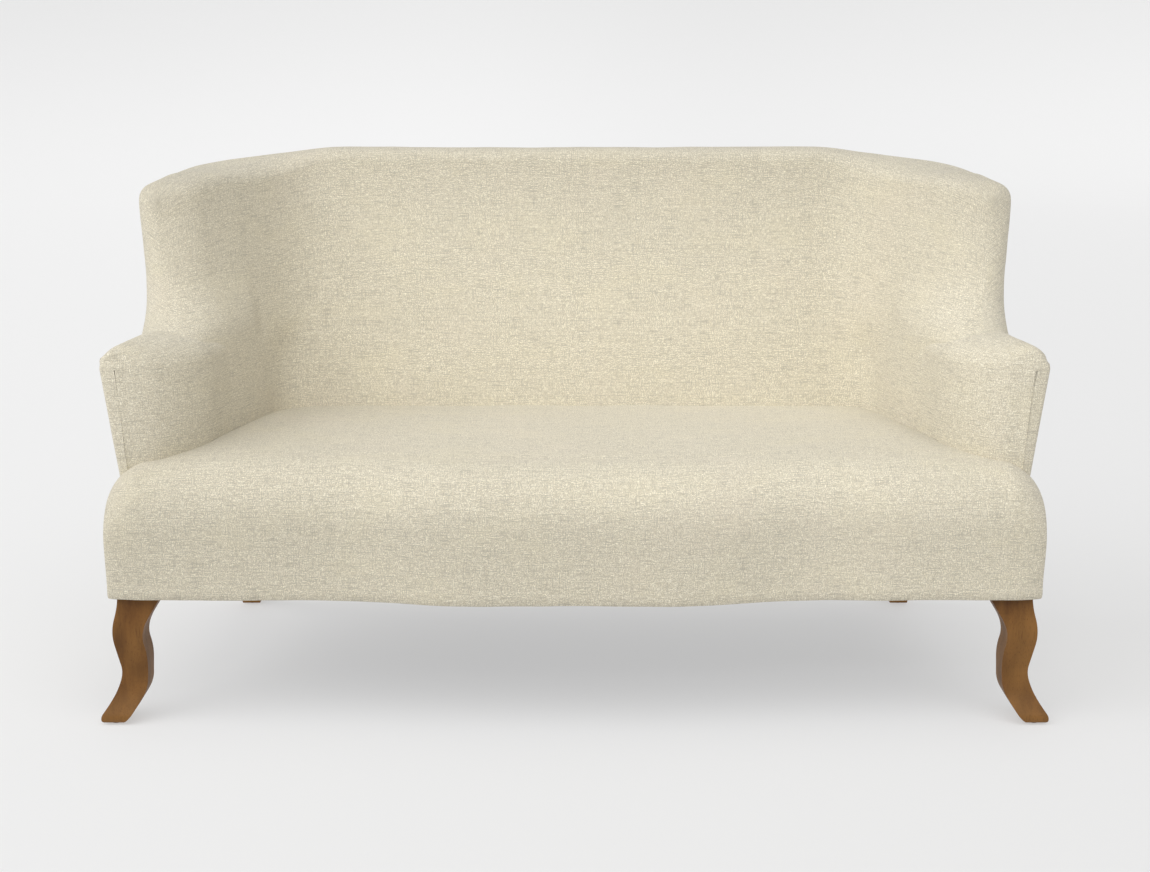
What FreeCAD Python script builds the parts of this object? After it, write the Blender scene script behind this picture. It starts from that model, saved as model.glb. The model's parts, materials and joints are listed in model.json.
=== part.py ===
import FreeCAD, Part
import math
import os
import re
import Sketcher
from FreeCAD import Vector

os.makedirs("parts", exist_ok=True)
doc = FreeCAD.newDocument("high_back_settee")

# Driving dimensions in millimetres. A "depth" is measured back from the flat ends of the front
# border, a "half" from the middle of the settee, and a height from the floor.
sizes = doc.addObject("Spreadsheet::Sheet", "sizes")
driving = [
    ("front_to_origin", 346, "front border to the origin"),
    ("border_half", 800, "half the width of the front border"),
    ("border_depth", 100, "depth of the border's ears in front of the arms"),
    ("border_round", 70, "outer top corner of the ears, seen from the front"),
    ("border_nose", 14, "rounding of the ears' outer front edge"),
    ("border_padding", 12, "padding over the front rail"),
    ("bow_out", 35, "how far the serpentine front stands out"),
    ("bow_flat_half", 150, "half the straight stretch at the middle of the bow"),
    ("bow_run", 300, "width in which the bow fades to the straight ends"),
    ("seat_top", 455, "seat height at its edges"),
    ("seat_crown", 10, "crown of the seat above its edges"),
    ("seat_roll", 95, "radius of the seat's front roll"),
    ("seat_tuck", 40, "how far the seat reaches into the arms"),
    ("cover_thickness", 2.5, "cover fabric with its wadding"),
    ("arm_front", 80, "depth of the arm's nose"),
    ("arm_back", 440, "depth where the arm ends at the back corner"),
    ("arm_top", 655, "arm height"),
    ("arm_shoulder", 48, "radius of the arm's top edges"),
    ("arm_inner_front", 637, "inner face of the arm behind its nose, half"),
    ("arm_inner_back", 600, "inner face of the arm at the back corner, half"),
    ("arm_inner_lean", 8, "how far the inner face leans out"),
    ("arm_outer_low", 760, "outer face of the arm at the front, low, half"),
    ("arm_outer_high", 811, "outer face of the arm at the front, high, half"),
    ("arm_nose_long", 149, "length of the nose's inner curve"),
    ("arm_nose_wide", 108, "width of the nose's inner curve"),
    ("arm_nose_power", 1.6, "squareness of the nose's inner curve"),
    ("arm_edge_long", 16, "length of the nose's small outer and top rounding"),
    ("arm_edge_wide", 12, "width of the nose's small outer and top rounding"),
    ("corner_half", 480, "half the flat stretch of the back"),
    ("knee_height", 640, "height where the inner faces change slope"),
    ("inner_side_low", 590, "inner corner at the arm's end, low, half"),
    ("inner_side_knee", 606, "inner corner at the arm's end, at the knee, half"),
    ("inner_side_high", 651, "inner corner at the arm's end, high, half"),
    ("inner_back_low", 480, "inside back, low, depth"),
    ("inner_back_knee", 556, "inside back at the knee, depth"),
    ("inner_back_high", 600, "inside back, high, depth"),
    ("inner_power", 1.8, "squareness of the inner corner"),
    ("outer_side_low", 737, "outer corner at the arm's end, low, half"),
    ("outer_side_knee", 772, "outer corner at the arm's end, at the knee, half"),
    ("outer_side_high", 776, "outer corner at the arm's end, high, half"),
    ("outer_back_low", 640, "outside back, low, depth"),
    ("outer_back_knee", 677, "outside back at the knee, depth"),
    ("outer_back_high", 700, "outside back, high, depth"),
    ("outer_power_low", 5.5, "squareness of the outer corner, low"),
    ("outer_power_knee", 4, "squareness of the outer corner at the knee"),
    ("outer_power_high", 4, "squareness of the outer corner, high"),
    ("crest_back", 950, "height of the back"),
    ("crest_side", 923, "height of the crest at the arm's end"),
    ("crest_wing", 905, "height of the crest at the wing's front"),
    ("crest_shoulder", 28, "radius of the crest's edges"),
    ("back_bulge", 7, "crown of the inside back"),
    ("wing_front_low", 262, "front of the wing at the knee, depth"),
    ("wing_front_high", 342, "front of the wing at the crest, depth"),
    ("wing_inner_knee", 690, "inner face of the wing's front, at the knee, half"),
    ("wing_inner_high", 711, "inner face of the wing's front, high, half"),
    ("wing_outer_knee", 788, "outer face of the wing's front, at the knee, half"),
    ("wing_outer_high", 800, "outer face of the wing's front, high, half"),
    ("wing_nose", 26, "rounding of the wing's front edge"),
    ("wing_padding", 34, "padding in front of the wing post"),
    ("skin_depth", 12, "depth of the zone that holds the outside covers"),
    ("skin_setback", 18, "outside arm cover behind the arm's nose"),
    ("arm_padding", 18, "padding on the arms' inner faces"),
    ("foam_thickness", 45, "padding on the wings' inner faces"),
    ("foam_over_rail", 24, "padding over the top rails"),
    ("rail_bottom", 221, "underside of the seat rails and edge of the covers"),
    ("rail_height", 83, "height of the seat rails"),
    ("rail_thickness", 30, "thickness of the frame's rails"),
    ("side_rail_front", 762, "outer face of the side rail at its front end, half"),
    ("side_rail_back", 696, "outer face of the side rail at its back end, half"),
    ("rear_rail_depth", 586, "front face of the rear rail, depth"),
    ("cross_rail_width", 45, "width of the rail across the seat's middle"),
    ("arm_post_width", 30, "width of the arm post"),
    ("arm_post_depth", 45, "depth of the arm post"),
    ("arm_post_setback", 24, "arm post behind the arm's nose"),
    ("arm_post_foot", 738, "middle of the arm post at its foot, half"),
    ("arm_post_head", 762, "middle of the arm post at its head, half"),
    ("wing_post_foot", 717, "middle of the wing post at its foot, half"),
    ("wing_post_head", 749, "middle of the wing post at its head, half"),
    ("wing_post_foot_depth", 330, "middle of the wing post at its foot, depth"),
    ("wing_post_head_depth", 405, "middle of the wing post at its head, depth"),
    ("back_post_foot", 652, "middle of the back post at its foot, half"),
    ("back_post_head", 660, "middle of the back post at its head, half"),
    ("back_frame_low", 590, "front of the back frame at the rails' top, depth"),
    ("back_frame_high", 650, "front of the back frame at its head, depth"),
    ("back_frame_top", 900, "head of the back frame"),
    ("wing_frame_top", 872, "head of the wing post"),
    ("crest_rail_height", 60, "height of the crest rail"),
    ("stay_rail_low", 335, "lower edge of the back's lower rail"),
    ("stay_rail_height", 55, "height of the back's lower rail"),
    ("arm_rail_height", 36, "height of the arm rail"),
    ("block_reach", 95, "reach of the corner blocks along the rails"),
    ("webbing_width", 50, "width of the webbing"),
    ("webbing_thickness", 1.6, "thickness of the webbing"),
    ("webbing_count", 6, "strips of webbing in the back"),
    ("spring_count", 8, "rows of springs"),
    ("spring_wire", 3.8, "wire of the springs"),
    ("spring_width", 46, "width of the springs"),
    ("spring_pitch", 26, "pitch of the springs' bars"),
    ("spring_span_half", 560, "half the width that the springs cover"),
    ("clip_wall", 1.2, "wall of the spring clips"),
    ("clip_width", 18, "width of the spring clips"),
    ("clip_reach", 9, "reach of the spring clips each way"),
    ("hessian_thickness", 1.5, "hessian over the springs"),
    ("dust_thickness", 1.2, "dust cover under the frame"),
    ("front_leg_half", 748, "middle of the front leg's head, half"),
    ("front_leg_depth", 56, "middle of the front leg's head, depth"),
    ("front_leg_head", 74, "width of the front leg's head"),
    ("front_leg_knee", 51, "width of the front leg's knee"),
    ("front_leg_ankle", 45, "width of the front leg's ankle"),
    ("front_leg_foot", 50, "width of the front leg's foot"),
    ("front_leg_sole", 26, "width of the front leg's sole"),
    ("knee_out", 20, "how far the front leg's knee stands out"),
    ("ankle_out", 13, "how far the front leg's ankle stands out"),
    ("foot_out", 46, "how far the front leg's foot stands out"),
    ("rear_leg_half", 678, "middle of the rear leg, half"),
    ("rear_leg_depth", 600, "middle of the rear leg's head, depth"),
    ("rear_leg_rake", 108, "how far the rear foot stands back"),
    ("rear_leg_head", 50, "width of the rear leg's head"),
    ("rear_leg_foot", 36, "width of the rear leg's foot"),
    ("glide_radius", 9, "radius of the floor glides"),
    ("glide_thickness", 3, "thickness of the floor glides"),
    ("bolt_radius", 4, "radius of the leg bolts"),
    ("bolt_length", 78, "length of the leg bolts"),
    ("bolt_in_leg", 42, "stretch of the bolt inside the leg"),
    ("insert_radius", 6, "radius of the threaded inserts"),
    ("insert_length", 20, "length of the threaded inserts"),
    ("hole_clearance", 0.1, "clearance of the bolts and the inserts"),
]
for row, (alias, value, note) in enumerate(driving, start=1):
    sizes.set(f"A{row}", note)
    sizes.set(f"B{row}", str(value))
    sizes.setAlias(f"B{row}", alias)
doc.recompute()
aliases = {alias for alias, value, note in driving}


def bound(expression):
    """The expression with each alias pointing at the sheet."""
    return re.sub(r"[a-z_]+", lambda m: f"sizes.{m[0]}" if m[0] in aliases else m[0], str(expression))


def val(expression):
    """The number that an expression of aliases gives."""
    found = sizes.evalExpression(bound(expression))
    return float(getattr(found, "Value", found))


def yOf(depth):
    """Y of a depth behind the front border."""
    return depth - val("front_to_origin")


# Sub-parts made from sketches
def placeSketch(body, name, role, offset):
    sketch = body.newObject("Sketcher::SketchObject", name)
    plane = [feature for feature in body.Origin.OriginFeatures if feature.Role == role][0]
    sketch.AttachmentSupport = [(plane, "")]
    sketch.MapMode = "FlatFace"
    sketch.setExpression("AttachmentOffset.Base.z", bound(offset))
    return sketch


def drawOutline(sketch, corners):
    """A closed outline. Each corner is x, y and, for an arc to the next corner, its radius,
    positive where the arc's centre lies to the left of the way."""
    spots = [Vector(val(corner[0]), val(corner[1]), 0) for corner in corners]
    ends = []
    for index, corner in enumerate(corners):
        start = spots[index]
        stop = spots[(index + 1) % len(spots)]
        if len(corner) < 3:
            ends.append((sketch.addGeometry(Part.LineSegment(start, stop)), 1, 2))
            continue
        radius = val(corner[2])
        chord = stop - start
        across = Vector(-chord.y, chord.x, 0).normalize() * math.copysign(1, radius)
        rise = math.sqrt(radius**2 - (chord.Length / 2) ** 2)
        centre = start + chord * 0.5 + across * rise
        first, last = (start, stop) if radius > 0 else (stop, start)
        angles = [math.atan2(p.y - centre.y, p.x - centre.x) for p in (first, last)]
        circle = Part.Circle(centre, Vector(0, 0, 1), abs(radius))
        curve = sketch.addGeometry(Part.ArcOfCircle(circle, angles[0], angles[1]))
        ends.append((curve, 1, 2) if radius > 0 else (curve, 2, 1))
    for index, (curve, first, last) in enumerate(ends):
        following = ends[(index + 1) % len(ends)]
        sketch.addConstraint(Sketcher.Constraint("Coincident", curve, last, following[0], following[1]))
        for kind, part in (("DistanceX", 0), ("DistanceY", 1)):
            size = val(corners[index][part])
            number = sketch.addConstraint(Sketcher.Constraint(kind, -1, 1, curve, first, size))
            sketch.setExpression(f"Constraints[{number}]", bound(corners[index][part]))
        if len(corners[index]) == 3:
            size = abs(val(corners[index][2]))
            number = sketch.addConstraint(Sketcher.Constraint("Radius", curve, size))
            sketch.setExpression(f"Constraints[{number}]", bound(f"abs({corners[index][2]})"))


def outlineBody(label, role, corners, start, length):
    """A body padded from one closed outline on an origin plane."""
    body = doc.addObject("PartDesign::Body", label)
    sketch = placeSketch(body, f"{label}_outline", role, start)
    drawOutline(sketch, corners)
    pad = body.newObject("PartDesign::Pad", f"{label}_pad")
    pad.Profile = sketch
    pad.setExpression("Length", bound(length))
    return body


def rectangle(middleX, middleY, width, depth):
    """The corners of an upright rectangle about its middle."""
    signs = ((-1, -1), (1, -1), (1, 1), (-1, 1))
    return [(f"{middleX} + {a} * {width} / 2", f"{middleY} + {b} * {depth} / 2") for a, b in signs]


def leaningPost(label, foot, head):
    """A post lofted from its foot to its head, each given as x, y, width, depth and height."""
    body = doc.addObject("PartDesign::Body", label)
    drawings = []
    for name, end in (("foot", foot), ("head", head)):
        sketch = placeSketch(body, f"{label}_{name}", "XY_Plane", end[4])
        drawOutline(sketch, rectangle(*end[:4]))
        drawings.append(sketch)
    loft = body.newObject("PartDesign::AdditiveLoft", f"{label}_loft")
    loft.Profile = drawings[0]
    loft.Sections = [drawings[1]]
    loft.Ruled = True
    return body


def boxPart(label, lowX, lowY, lowZ, length, width, height):
    """A plain box placed by its lowest corner."""
    box = doc.addObject("Part::Box", label)
    for name, expression in (("Length", length), ("Width", width), ("Height", height)):
        box.setExpression(name, bound(expression))
    for name, expression in (("x", lowX), ("y", lowY), ("z", lowZ)):
        box.setExpression(f"Placement.Base.{name}", bound(expression))
    return box


def shapePart(label, shape):
    """A sub-part with a form that sketches and boxes don't give."""
    feature = doc.addObject("Part::Feature", label)
    feature.Shape = shape
    feature.Placement = FreeCAD.Placement()
    return feature


def mirrored(shape):
    return shape.mirror(Vector(0, 0, 0), Vector(1, 0, 0))


def slab(lowX, highX, lowY, highY, lowZ, highZ):
    return Part.makeBox(highX - lowX, highY - lowY, highZ - lowZ, Vector(lowX, lowY, lowZ))


# The serpentine front: straight ends, a reversed curve each side and a straight middle
bowRadius = "((bow_run / 2)^2 + (bow_out / 2)^2) / bow_out"


def bowAt(half):
    """How far the front stands out at a distance from the middle."""
    across = abs(half) - val("bow_flat_half")
    run = val("bow_run")
    radius = val(bowRadius)
    if across <= 0:
        return val("bow_out")
    if across <= run / 2:
        return val("bow_out") - radius + math.sqrt(radius**2 - across**2)
    if across < run:
        return radius - math.sqrt(radius**2 - (run - across) ** 2)
    return 0.0


def serpentine(setback, end, backwards):
    """The corners of the front line, set back by a depth, from one end to the other."""
    middle = "bow_flat_half"
    turn = "(bow_flat_half + bow_run / 2)"
    far = "(bow_flat_half + bow_run)"
    front = f"{setback} - front_to_origin"
    outer = f"({bowRadius} - ({setback}))"
    inner = f"({bowRadius} + ({setback}))"
    slope = f"(bow_run / 2) / ({bowRadius})"
    rise = f"(1 - sqrt(1 - ({slope})^2))"
    turnX = f"{turn} - ({setback}) * {slope}"
    turnY = f"{front} - bow_out / 2 - ({setback}) * {rise}"
    half = [
        (f"{end}", f"{front}", None),
        (f"{far}", f"{front}", inner),
        (turnX, turnY, outer),
        (f"{middle}", f"{front} - bow_out", None),
    ]
    left = [(f"-({x})", y) for x, y, radius in half]
    right = [(x, y) for x, y, radius in reversed(half)]
    bends = [None, f"-({inner})", outer, None, outer, f"-({inner})", None]
    path = left + right
    if backwards:
        path.reverse()
        bends = [bend if bend is None else f"-({bend})" for bend in reversed(bends)]
    corners = []
    for index, spot in enumerate(path):
        bend = bends[index] if index < len(bends) else None
        corners.append(spot if bend is None else (spot[0], spot[1], bend))
    return corners


railFront = "(border_padding + cover_thickness)"
railBack = "(border_padding + cover_thickness + rail_thickness)"
railEnd = "(border_half - border_padding - cover_thickness)"

outlineBody(
    "front_rail",
    "XY_Plane",
    serpentine(railFront, railEnd, False) + serpentine(railBack, railEnd, True),
    "rail_bottom",
    "rail_height",
)

# Seat frame
sideFront = f"({railBack} - front_to_origin)"
sideBack = "(rear_rail_depth + rail_thickness - front_to_origin)"
sideSlope = f"((side_rail_front - side_rail_back) / ({sideBack} - {sideFront}))"
holeRadius = "(insert_radius + hole_clearance)"


def sideMiddle(depth):
    """Middle of the side rail at a depth, half."""
    return f"(side_rail_front - rail_thickness / 2 - {sideSlope} * ({depth} - {railBack}))"


frontBoltDepth = "(front_leg_depth + front_leg_head / 8)"
rearBoltDepth = "rear_leg_depth"
for side, sign in (("left", -1), ("right", 1)):
    blank = outlineBody(
        f"side_rail_blank_{side}",
        "XY_Plane",
        [
            (f"{sign} * side_rail_front", sideFront),
            (f"{sign} * (side_rail_front - rail_thickness)", sideFront),
            (f"{sign} * (side_rail_back - rail_thickness)", sideBack),
            (f"{sign} * side_rail_back", sideBack),
        ],
        "rail_bottom",
        "rail_height",
    )
    holes = []
    for end, depth in (("front", frontBoltDepth), ("rear", rearBoltDepth)):
        hole = doc.addObject("Part::Cylinder", f"side_rail_hole_{end}_{side}")
        hole.setExpression("Radius", bound(holeRadius))
        hole.setExpression("Height", bound("bolt_length - bolt_in_leg + 2"))
        hole.setExpression("Placement.Base.x", bound(f"{sign} * {sideMiddle(depth)}"))
        hole.setExpression("Placement.Base.y", bound(f"{depth} - front_to_origin"))
        hole.setExpression("Placement.Base.z", bound("rail_bottom - 1"))
        holes.append(hole)
    bores = doc.addObject("Part::MultiFuse", f"side_rail_holes_{side}")
    bores.Shapes = holes
    rail = doc.addObject("Part::Cut", f"side_rail_{side}")
    rail.Base = blank
    rail.Tool = bores
rearEnd = f"(side_rail_back - rail_thickness)"
boxPart(
    "rear_rail",
    f"-{rearEnd}",
    "rear_rail_depth - front_to_origin",
    "rail_bottom",
    f"2 * {rearEnd}",
    "rail_thickness",
    "rail_height",
)
crossFront = f"({railBack} - bow_out - front_to_origin)"
boxPart(
    "seat_cross_rail",
    "-cross_rail_width / 2",
    crossFront,
    "rail_bottom",
    "cross_rail_width",
    f"rear_rail_depth - front_to_origin - {crossFront}",
    "rail_height",
)


def prism(corners, low, high):
    """A prism standing on a plan outline of plain points."""
    points = [Vector(x, y, low) for x, y in corners]
    outline = Part.makePolygon(points + points[:1])
    return Part.Face(outline).extrude(Vector(0, 0, high - low))


def sideInner(y):
    """Inner face of the side rail at a Y."""
    return val("side_rail_front - rail_thickness") - val(sideSlope) * (y - frontInner)


def planFace(corners, z):
    """A flat face from the corners of an outline, as drawOutline takes them."""
    spots = [Vector(val(corner[0]), val(corner[1]), z) for corner in corners]
    edges = []
    for index, corner in enumerate(corners):
        start = spots[index]
        stop = spots[(index + 1) % len(spots)]
        if len(corner) < 3:
            edges.append(Part.makeLine(start, stop))
            continue
        radius = val(corner[2])
        chord = stop - start
        across = Vector(chord.y, -chord.x, 0).normalize() * math.copysign(1, radius)
        depth = abs(radius) - math.sqrt(radius**2 - (chord.Length / 2) ** 2)
        edges.append(Part.Arc(start, start + chord * 0.5 + across * depth, stop).toShape())
    return Part.Face(Part.Wire(edges))


# Corner blocks, glued and screwed into the corners of the seat frame
railLow = val("rail_bottom")
railHigh = val("rail_bottom + rail_height")
blockReach = val("block_reach")
frontInner = val(f"{railBack} - front_to_origin")
rearInner = val("rear_rail_depth - front_to_origin")


def cornerBlock(fromY, toY):
    corner = sideInner(fromY)
    outline = [(corner, fromY), (sideInner(toY), toY), (corner - blockReach, fromY)]
    return prism(outline, railLow, railHigh)


blocks = [cornerBlock(frontInner, frontInner + blockReach), cornerBlock(rearInner, rearInner - blockReach)]
shapePart("corner_blocks", Part.makeCompound(blocks + [mirrored(block) for block in blocks]))

# Posts of the arms, the wings and the back
postFoot = "(rail_bottom + rail_height)"
armRailTop = "(arm_top - foam_over_rail - cover_thickness)"
armPostDepth = "(arm_front + arm_post_setback + arm_post_depth / 2)"
frameRake = f"((back_frame_high - back_frame_low) / (back_frame_top - {postFoot}))"


def frameFront(height):
    """Front of the back frame at a height, as a Y."""
    return f"(back_frame_low + {frameRake} * ({height} - {postFoot}) - front_to_origin)"


for side, sign in (("left", -1), ("right", 1)):
    size = ("arm_post_width", "arm_post_depth")
    leaningPost(
        f"arm_post_{side}",
        (f"{sign} * arm_post_foot", f"{armPostDepth} - front_to_origin", *size, postFoot),
        (f"{sign} * arm_post_head", f"{armPostDepth} - front_to_origin", *size, armRailTop),
    )
    leaningPost(
        f"wing_post_{side}",
        (f"{sign} * wing_post_foot", "wing_post_foot_depth - front_to_origin", *size, postFoot),
        (f"{sign} * wing_post_head", "wing_post_head_depth - front_to_origin", *size, "wing_frame_top"),
    )
    leaningPost(
        f"back_post_{side}",
        (
            f"{sign} * back_post_foot",
            f"{frameFront(postFoot)} + rail_thickness / 2",
            "arm_post_depth",
            "rail_thickness",
            postFoot,
        ),
        (
            f"{sign} * back_post_head",
            f"{frameFront('back_frame_top')} + rail_thickness / 2",
            "arm_post_depth",
            "rail_thickness",
            "back_frame_top",
        ),
    )

# Rails of the arms and the wings, between the posts
armRailLow = f"({armRailTop} - arm_rail_height)"
armRailMiddle = f"({armRailTop} - arm_rail_height / 2)"
wingShare = f"(({armRailMiddle} - {postFoot}) / (wing_frame_top - {postFoot}))"
armShare = f"(({armRailMiddle} - {postFoot}) / ({armRailTop} - {postFoot}))"
wingRailLow = "(wing_frame_top - arm_rail_height)"
for side, sign in (("left", -1), ("right", 1)):
    armX = f"(arm_post_foot + (arm_post_head - arm_post_foot) * {armShare})"
    armY = f"({armPostDepth} + arm_post_depth / 2 - front_to_origin)"
    wingX = f"(wing_post_foot + (wing_post_head - wing_post_foot) * {wingShare})"
    wingLowShare = f"(({armRailLow} - {postFoot}) / (wing_frame_top - {postFoot}))"
    wingY = (
        f"(wing_post_foot_depth + (wing_post_head_depth - wing_post_foot_depth) * {wingLowShare}"
        " - arm_post_depth / 2 - front_to_origin)"
    )
    outlineBody(
        f"arm_rail_{side}",
        "XY_Plane",
        [
            (f"{sign} * ({armX} - arm_post_width / 2)", armY),
            (f"{sign} * ({armX} + arm_post_width / 2)", armY),
            (f"{sign} * ({wingX} + arm_post_width / 2)", wingY),
            (f"{sign} * ({wingX} - arm_post_width / 2)", wingY),
        ],
        armRailLow,
        "arm_rail_height",
    )
    wingBackY = "(wing_post_head_depth + arm_post_depth / 2 - front_to_origin)"
    postY = f"{frameFront(wingRailLow)}"
    outlineBody(
        f"wing_rail_{side}",
        "XY_Plane",
        [
            (f"{sign} * (wing_post_head - arm_post_width / 2)", wingBackY),
            (f"{sign} * (wing_post_head + arm_post_width / 2)", wingBackY),
            (f"{sign} * (back_post_head + arm_post_depth / 2)", postY),
            (f"{sign} * (back_post_head - arm_post_depth / 4)", postY),
        ],
        wingRailLow,
        "arm_rail_height",
    )


# Raked members of the back frame, drawn in the side view
def rakedSection(low, high, ahead, thickness):
    """A slanted section from one height to another, set ahead of the frame's front."""
    return [
        (f"{frameFront(low)} - {ahead}", low),
        (f"{frameFront(low)} - {ahead} + {thickness}", low),
        (f"{frameFront(high)} - {ahead} + {thickness}", high),
        (f"{frameFront(high)} - {ahead}", high),
    ]


def postInner(height):
    """Inner face of the back post at a height, half."""
    share = f"(({height} - {postFoot}) / (back_frame_top - {postFoot}))"
    return f"(back_post_foot + (back_post_head - back_post_foot) * {share} - arm_post_depth / 2)"


crestLow = "(back_frame_top - crest_rail_height)"
stayHigh = "(stay_rail_low + stay_rail_height)"
outlineBody(
    "crest_rail",
    "YZ_Plane",
    rakedSection(crestLow, "back_frame_top", "0", "rail_thickness"),
    f"-{postInner(crestLow)}",
    f"2 * {postInner(crestLow)}",
)
outlineBody(
    "back_stay_rail",
    "YZ_Plane",
    rakedSection("stay_rail_low", stayHigh, "0", "rail_thickness"),
    f"-{postInner('stay_rail_low')}",
    f"2 * {postInner('stay_rail_low')}",
)
outlineBody(
    "back_middle_post",
    "YZ_Plane",
    rakedSection(stayHigh, crestLow, "0", "rail_thickness"),
    "-cross_rail_width / 2",
    "cross_rail_width",
)
outlineBody(
    "back_middle_foot",
    "YZ_Plane",
    rakedSection(postFoot, "stay_rail_low", "0", "rail_thickness"),
    "-cross_rail_width / 2",
    "cross_rail_width",
)


# Webbing down the front of the back frame
def webbingStrips():
    low = "stay_rail_low"
    high = "back_frame_top"
    section = rakedSection(low, high, "webbing_thickness", "webbing_thickness")
    points = [Vector(0, val(y), val(z)) for y, z in section]
    face = Part.Face(Part.makePolygon(points + points[:1]))
    count = int(round(val("webbing_count")))
    reach = val(f"{postInner(low)} - webbing_width")
    strips = []
    for index in range(count):
        x = -reach + index * 2 * reach / (count - 1) - val("webbing_width") / 2
        strips.append(face.extrude(Vector(val("webbing_width"), 0, 0)).translated(Vector(x, 0, 0)))
    return Part.makeCompound(strips)


shapePart("back_webbing", webbingStrips())


# Serpentine seat springs, each one wire bent to and fro, held by a clip at both ends
springZ = railHigh + val("clip_wall") + val("spring_wire") / 2
springFront = yOf(val(f"{railBack} - rail_thickness / 2"))
springBack = yOf(val("rear_rail_depth + rail_thickness / 2"))


def springWire(x, fromY, toY):
    """Bars across the seat joined by half turns, from the front clip to the back clip."""
    half = val("spring_width") / 2
    bars = int((toY - fromY) / val("spring_pitch"))
    pitch = (toY - fromY) / bars
    turn = pitch / 2
    edges = []
    for index in range(bars + 1):
        y = fromY + index * pitch
        sign = 1 if index % 2 == 0 else -1
        start = Vector(x - sign * (half - turn), y, springZ)
        stop = Vector(x + sign * (half - turn), y, springZ)
        edges.append(Part.makeLine(start, stop))
        if index < bars:
            across = Vector(x + sign * half, y + turn, springZ)
            after = Vector(x + sign * (half - turn), y + pitch, springZ)
            edges.append(Part.Arc(stop, across, after).toShape())
    path = Part.Wire(edges)
    start = edges[0].Vertexes[0].Point
    ring = Part.Wire(Part.makeCircle(val("spring_wire") / 2, start, Vector(1, 0, 0)))
    return path.makePipeShell([ring], True, False)


def springClip(x, y):
    """A bent strip that wraps the wire on the rail's top."""
    wall = val("clip_wall")
    wide = val("clip_width")
    tall = val("spring_wire") + 2 * wall
    reach = val("clip_reach")
    outer = slab(x - wide / 2, x + wide / 2, y - reach, y + reach, railHigh, railHigh + tall)
    low = railHigh + wall
    inner = slab(x - wide, x + wide, y - reach + wall, y + reach + wall, low, low + val("spring_wire"))
    return outer.cut(inner)


springRows = int(round(val("spring_count")))
springs = []
clips = []
for index in range(springRows):
    x = val("spring_span_half") * (2 * index / (springRows - 1) - 1)
    front = springFront - bowAt(x)
    springs.append(springWire(x, front, springBack))
    clips.append(springClip(x, front))
    clips.append(springClip(x, springBack))
shapePart("seat_springs", Part.makeCompound(springs))
shapePart("spring_clips", Part.makeCompound(clips))


# Forms of the upholstery. Each is a closed band with an inner side, a rounded crest and an outer
# side, drawn in a section plane and lofted along the arm, the wing, the corner or the back.
def bowed(first, last, middle):
    if (middle - (first + last) * 0.5).Length < 0.01:
        return Part.makeLine(first, last)
    return Part.Arc(first, middle, last).toShape()


def bandWire(place, inner, outer, crest, shoulder, bulge):
    """Inner and outer are distances with heights, from the bottom up to the shoulder."""
    edges = []
    diagonal = shoulder * (1 - math.sqrt(0.5))
    for index in range(len(inner) - 1):
        (near, low), (far, high) = inner[index], inner[index + 1]
        swell = bulge if index == len(inner) - 2 else 0
        middle = place((near + far) / 2 - swell, (low + high) / 2)
        edges.append(bowed(place(near, low), place(far, high), middle))
    innerTop = inner[-1][0]
    outerTop = outer[-1][0]
    edges.append(
        bowed(
            place(innerTop, crest - shoulder),
            place(innerTop + shoulder, crest),
            place(innerTop + diagonal, crest - diagonal),
        )
    )
    edges.append(Part.makeLine(place(innerTop + shoulder, crest), place(outerTop - shoulder, crest)))
    edges.append(
        bowed(
            place(outerTop - shoulder, crest),
            place(outerTop, crest - shoulder),
            place(outerTop - diagonal, crest - diagonal),
        )
    )
    for index in range(len(outer) - 1, 0, -1):
        edges.append(Part.makeLine(place(*outer[index]), place(*outer[index - 1])))
    edges.append(Part.makeLine(place(*outer[0]), place(*inner[0])))
    return Part.Wire(edges)


def mix(share, first, last):
    return first + (last - first) * share


def rounding(share, wide):
    """How far a quarter ellipse has drawn in, from 0 at its start to its width at its end."""
    return wide * (1 - math.sqrt(max(0.0, 1 - share**2)))


coverLow = val("rail_bottom")
knee = val("knee_height")
coverThickness = val("cover_thickness")
cornerHalf = val("corner_half")
cornerY = yOf(val("arm_back"))
beyond = 20


class Inset:
    """How far a form is drawn in from the finished outside of the upholstery. A skin keeps only
    the zone at the outer side, and reaches past it."""

    def __init__(self, inner=0, outer=0, top=0, front=0, skin=0):
        self.inner = inner
        self.outer = outer
        self.top = top
        self.front = front
        self.skin = skin

    def apply(self, inner, outer, crest, shoulder):
        """The drawn-in sides, crest and shoulder of a section."""
        if self.skin:
            inner = [(across - self.skin, z) for across, z in outer]
        width = outer[-1][0] - self.outer - inner[-1][0] - self.inner
        crest = crest - self.top
        shoulder = min(max(shoulder - self.top, 1.0), width * 0.45)
        height = crest - shoulder
        inner = [(across + self.inner, z) for across, z in inner[:-1]] + [(inner[-1][0] + self.inner, height)]
        outer = [(across - self.outer, z) for across, z in outer[:-1]] + [(outer[-1][0] - self.outer, height)]
        return inner, outer, crest, shoulder


finished = Inset()
underCover = Inset(coverThickness, coverThickness, coverThickness, coverThickness)
railInset = coverThickness + val("foam_over_rail")
armHollow = Inset(coverThickness + val("arm_padding"), -beyond, railInset, val("arm_post_setback") - 1)
wingHollow = Inset(coverThickness + val("foam_thickness"), -beyond, railInset, val("wing_padding"))
armSkin = Inset(0, -beyond, val("arm_shoulder"), val("skin_setback"), val("skin_depth"))
backSkin = Inset(0, -beyond, val("crest_shoulder") * 1.5, 0, val("skin_depth"))


def sectionLoft(sections):
    """A closed solid through the sections."""
    return Part.makeLoft(sections, True, False, False, 2)


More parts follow.
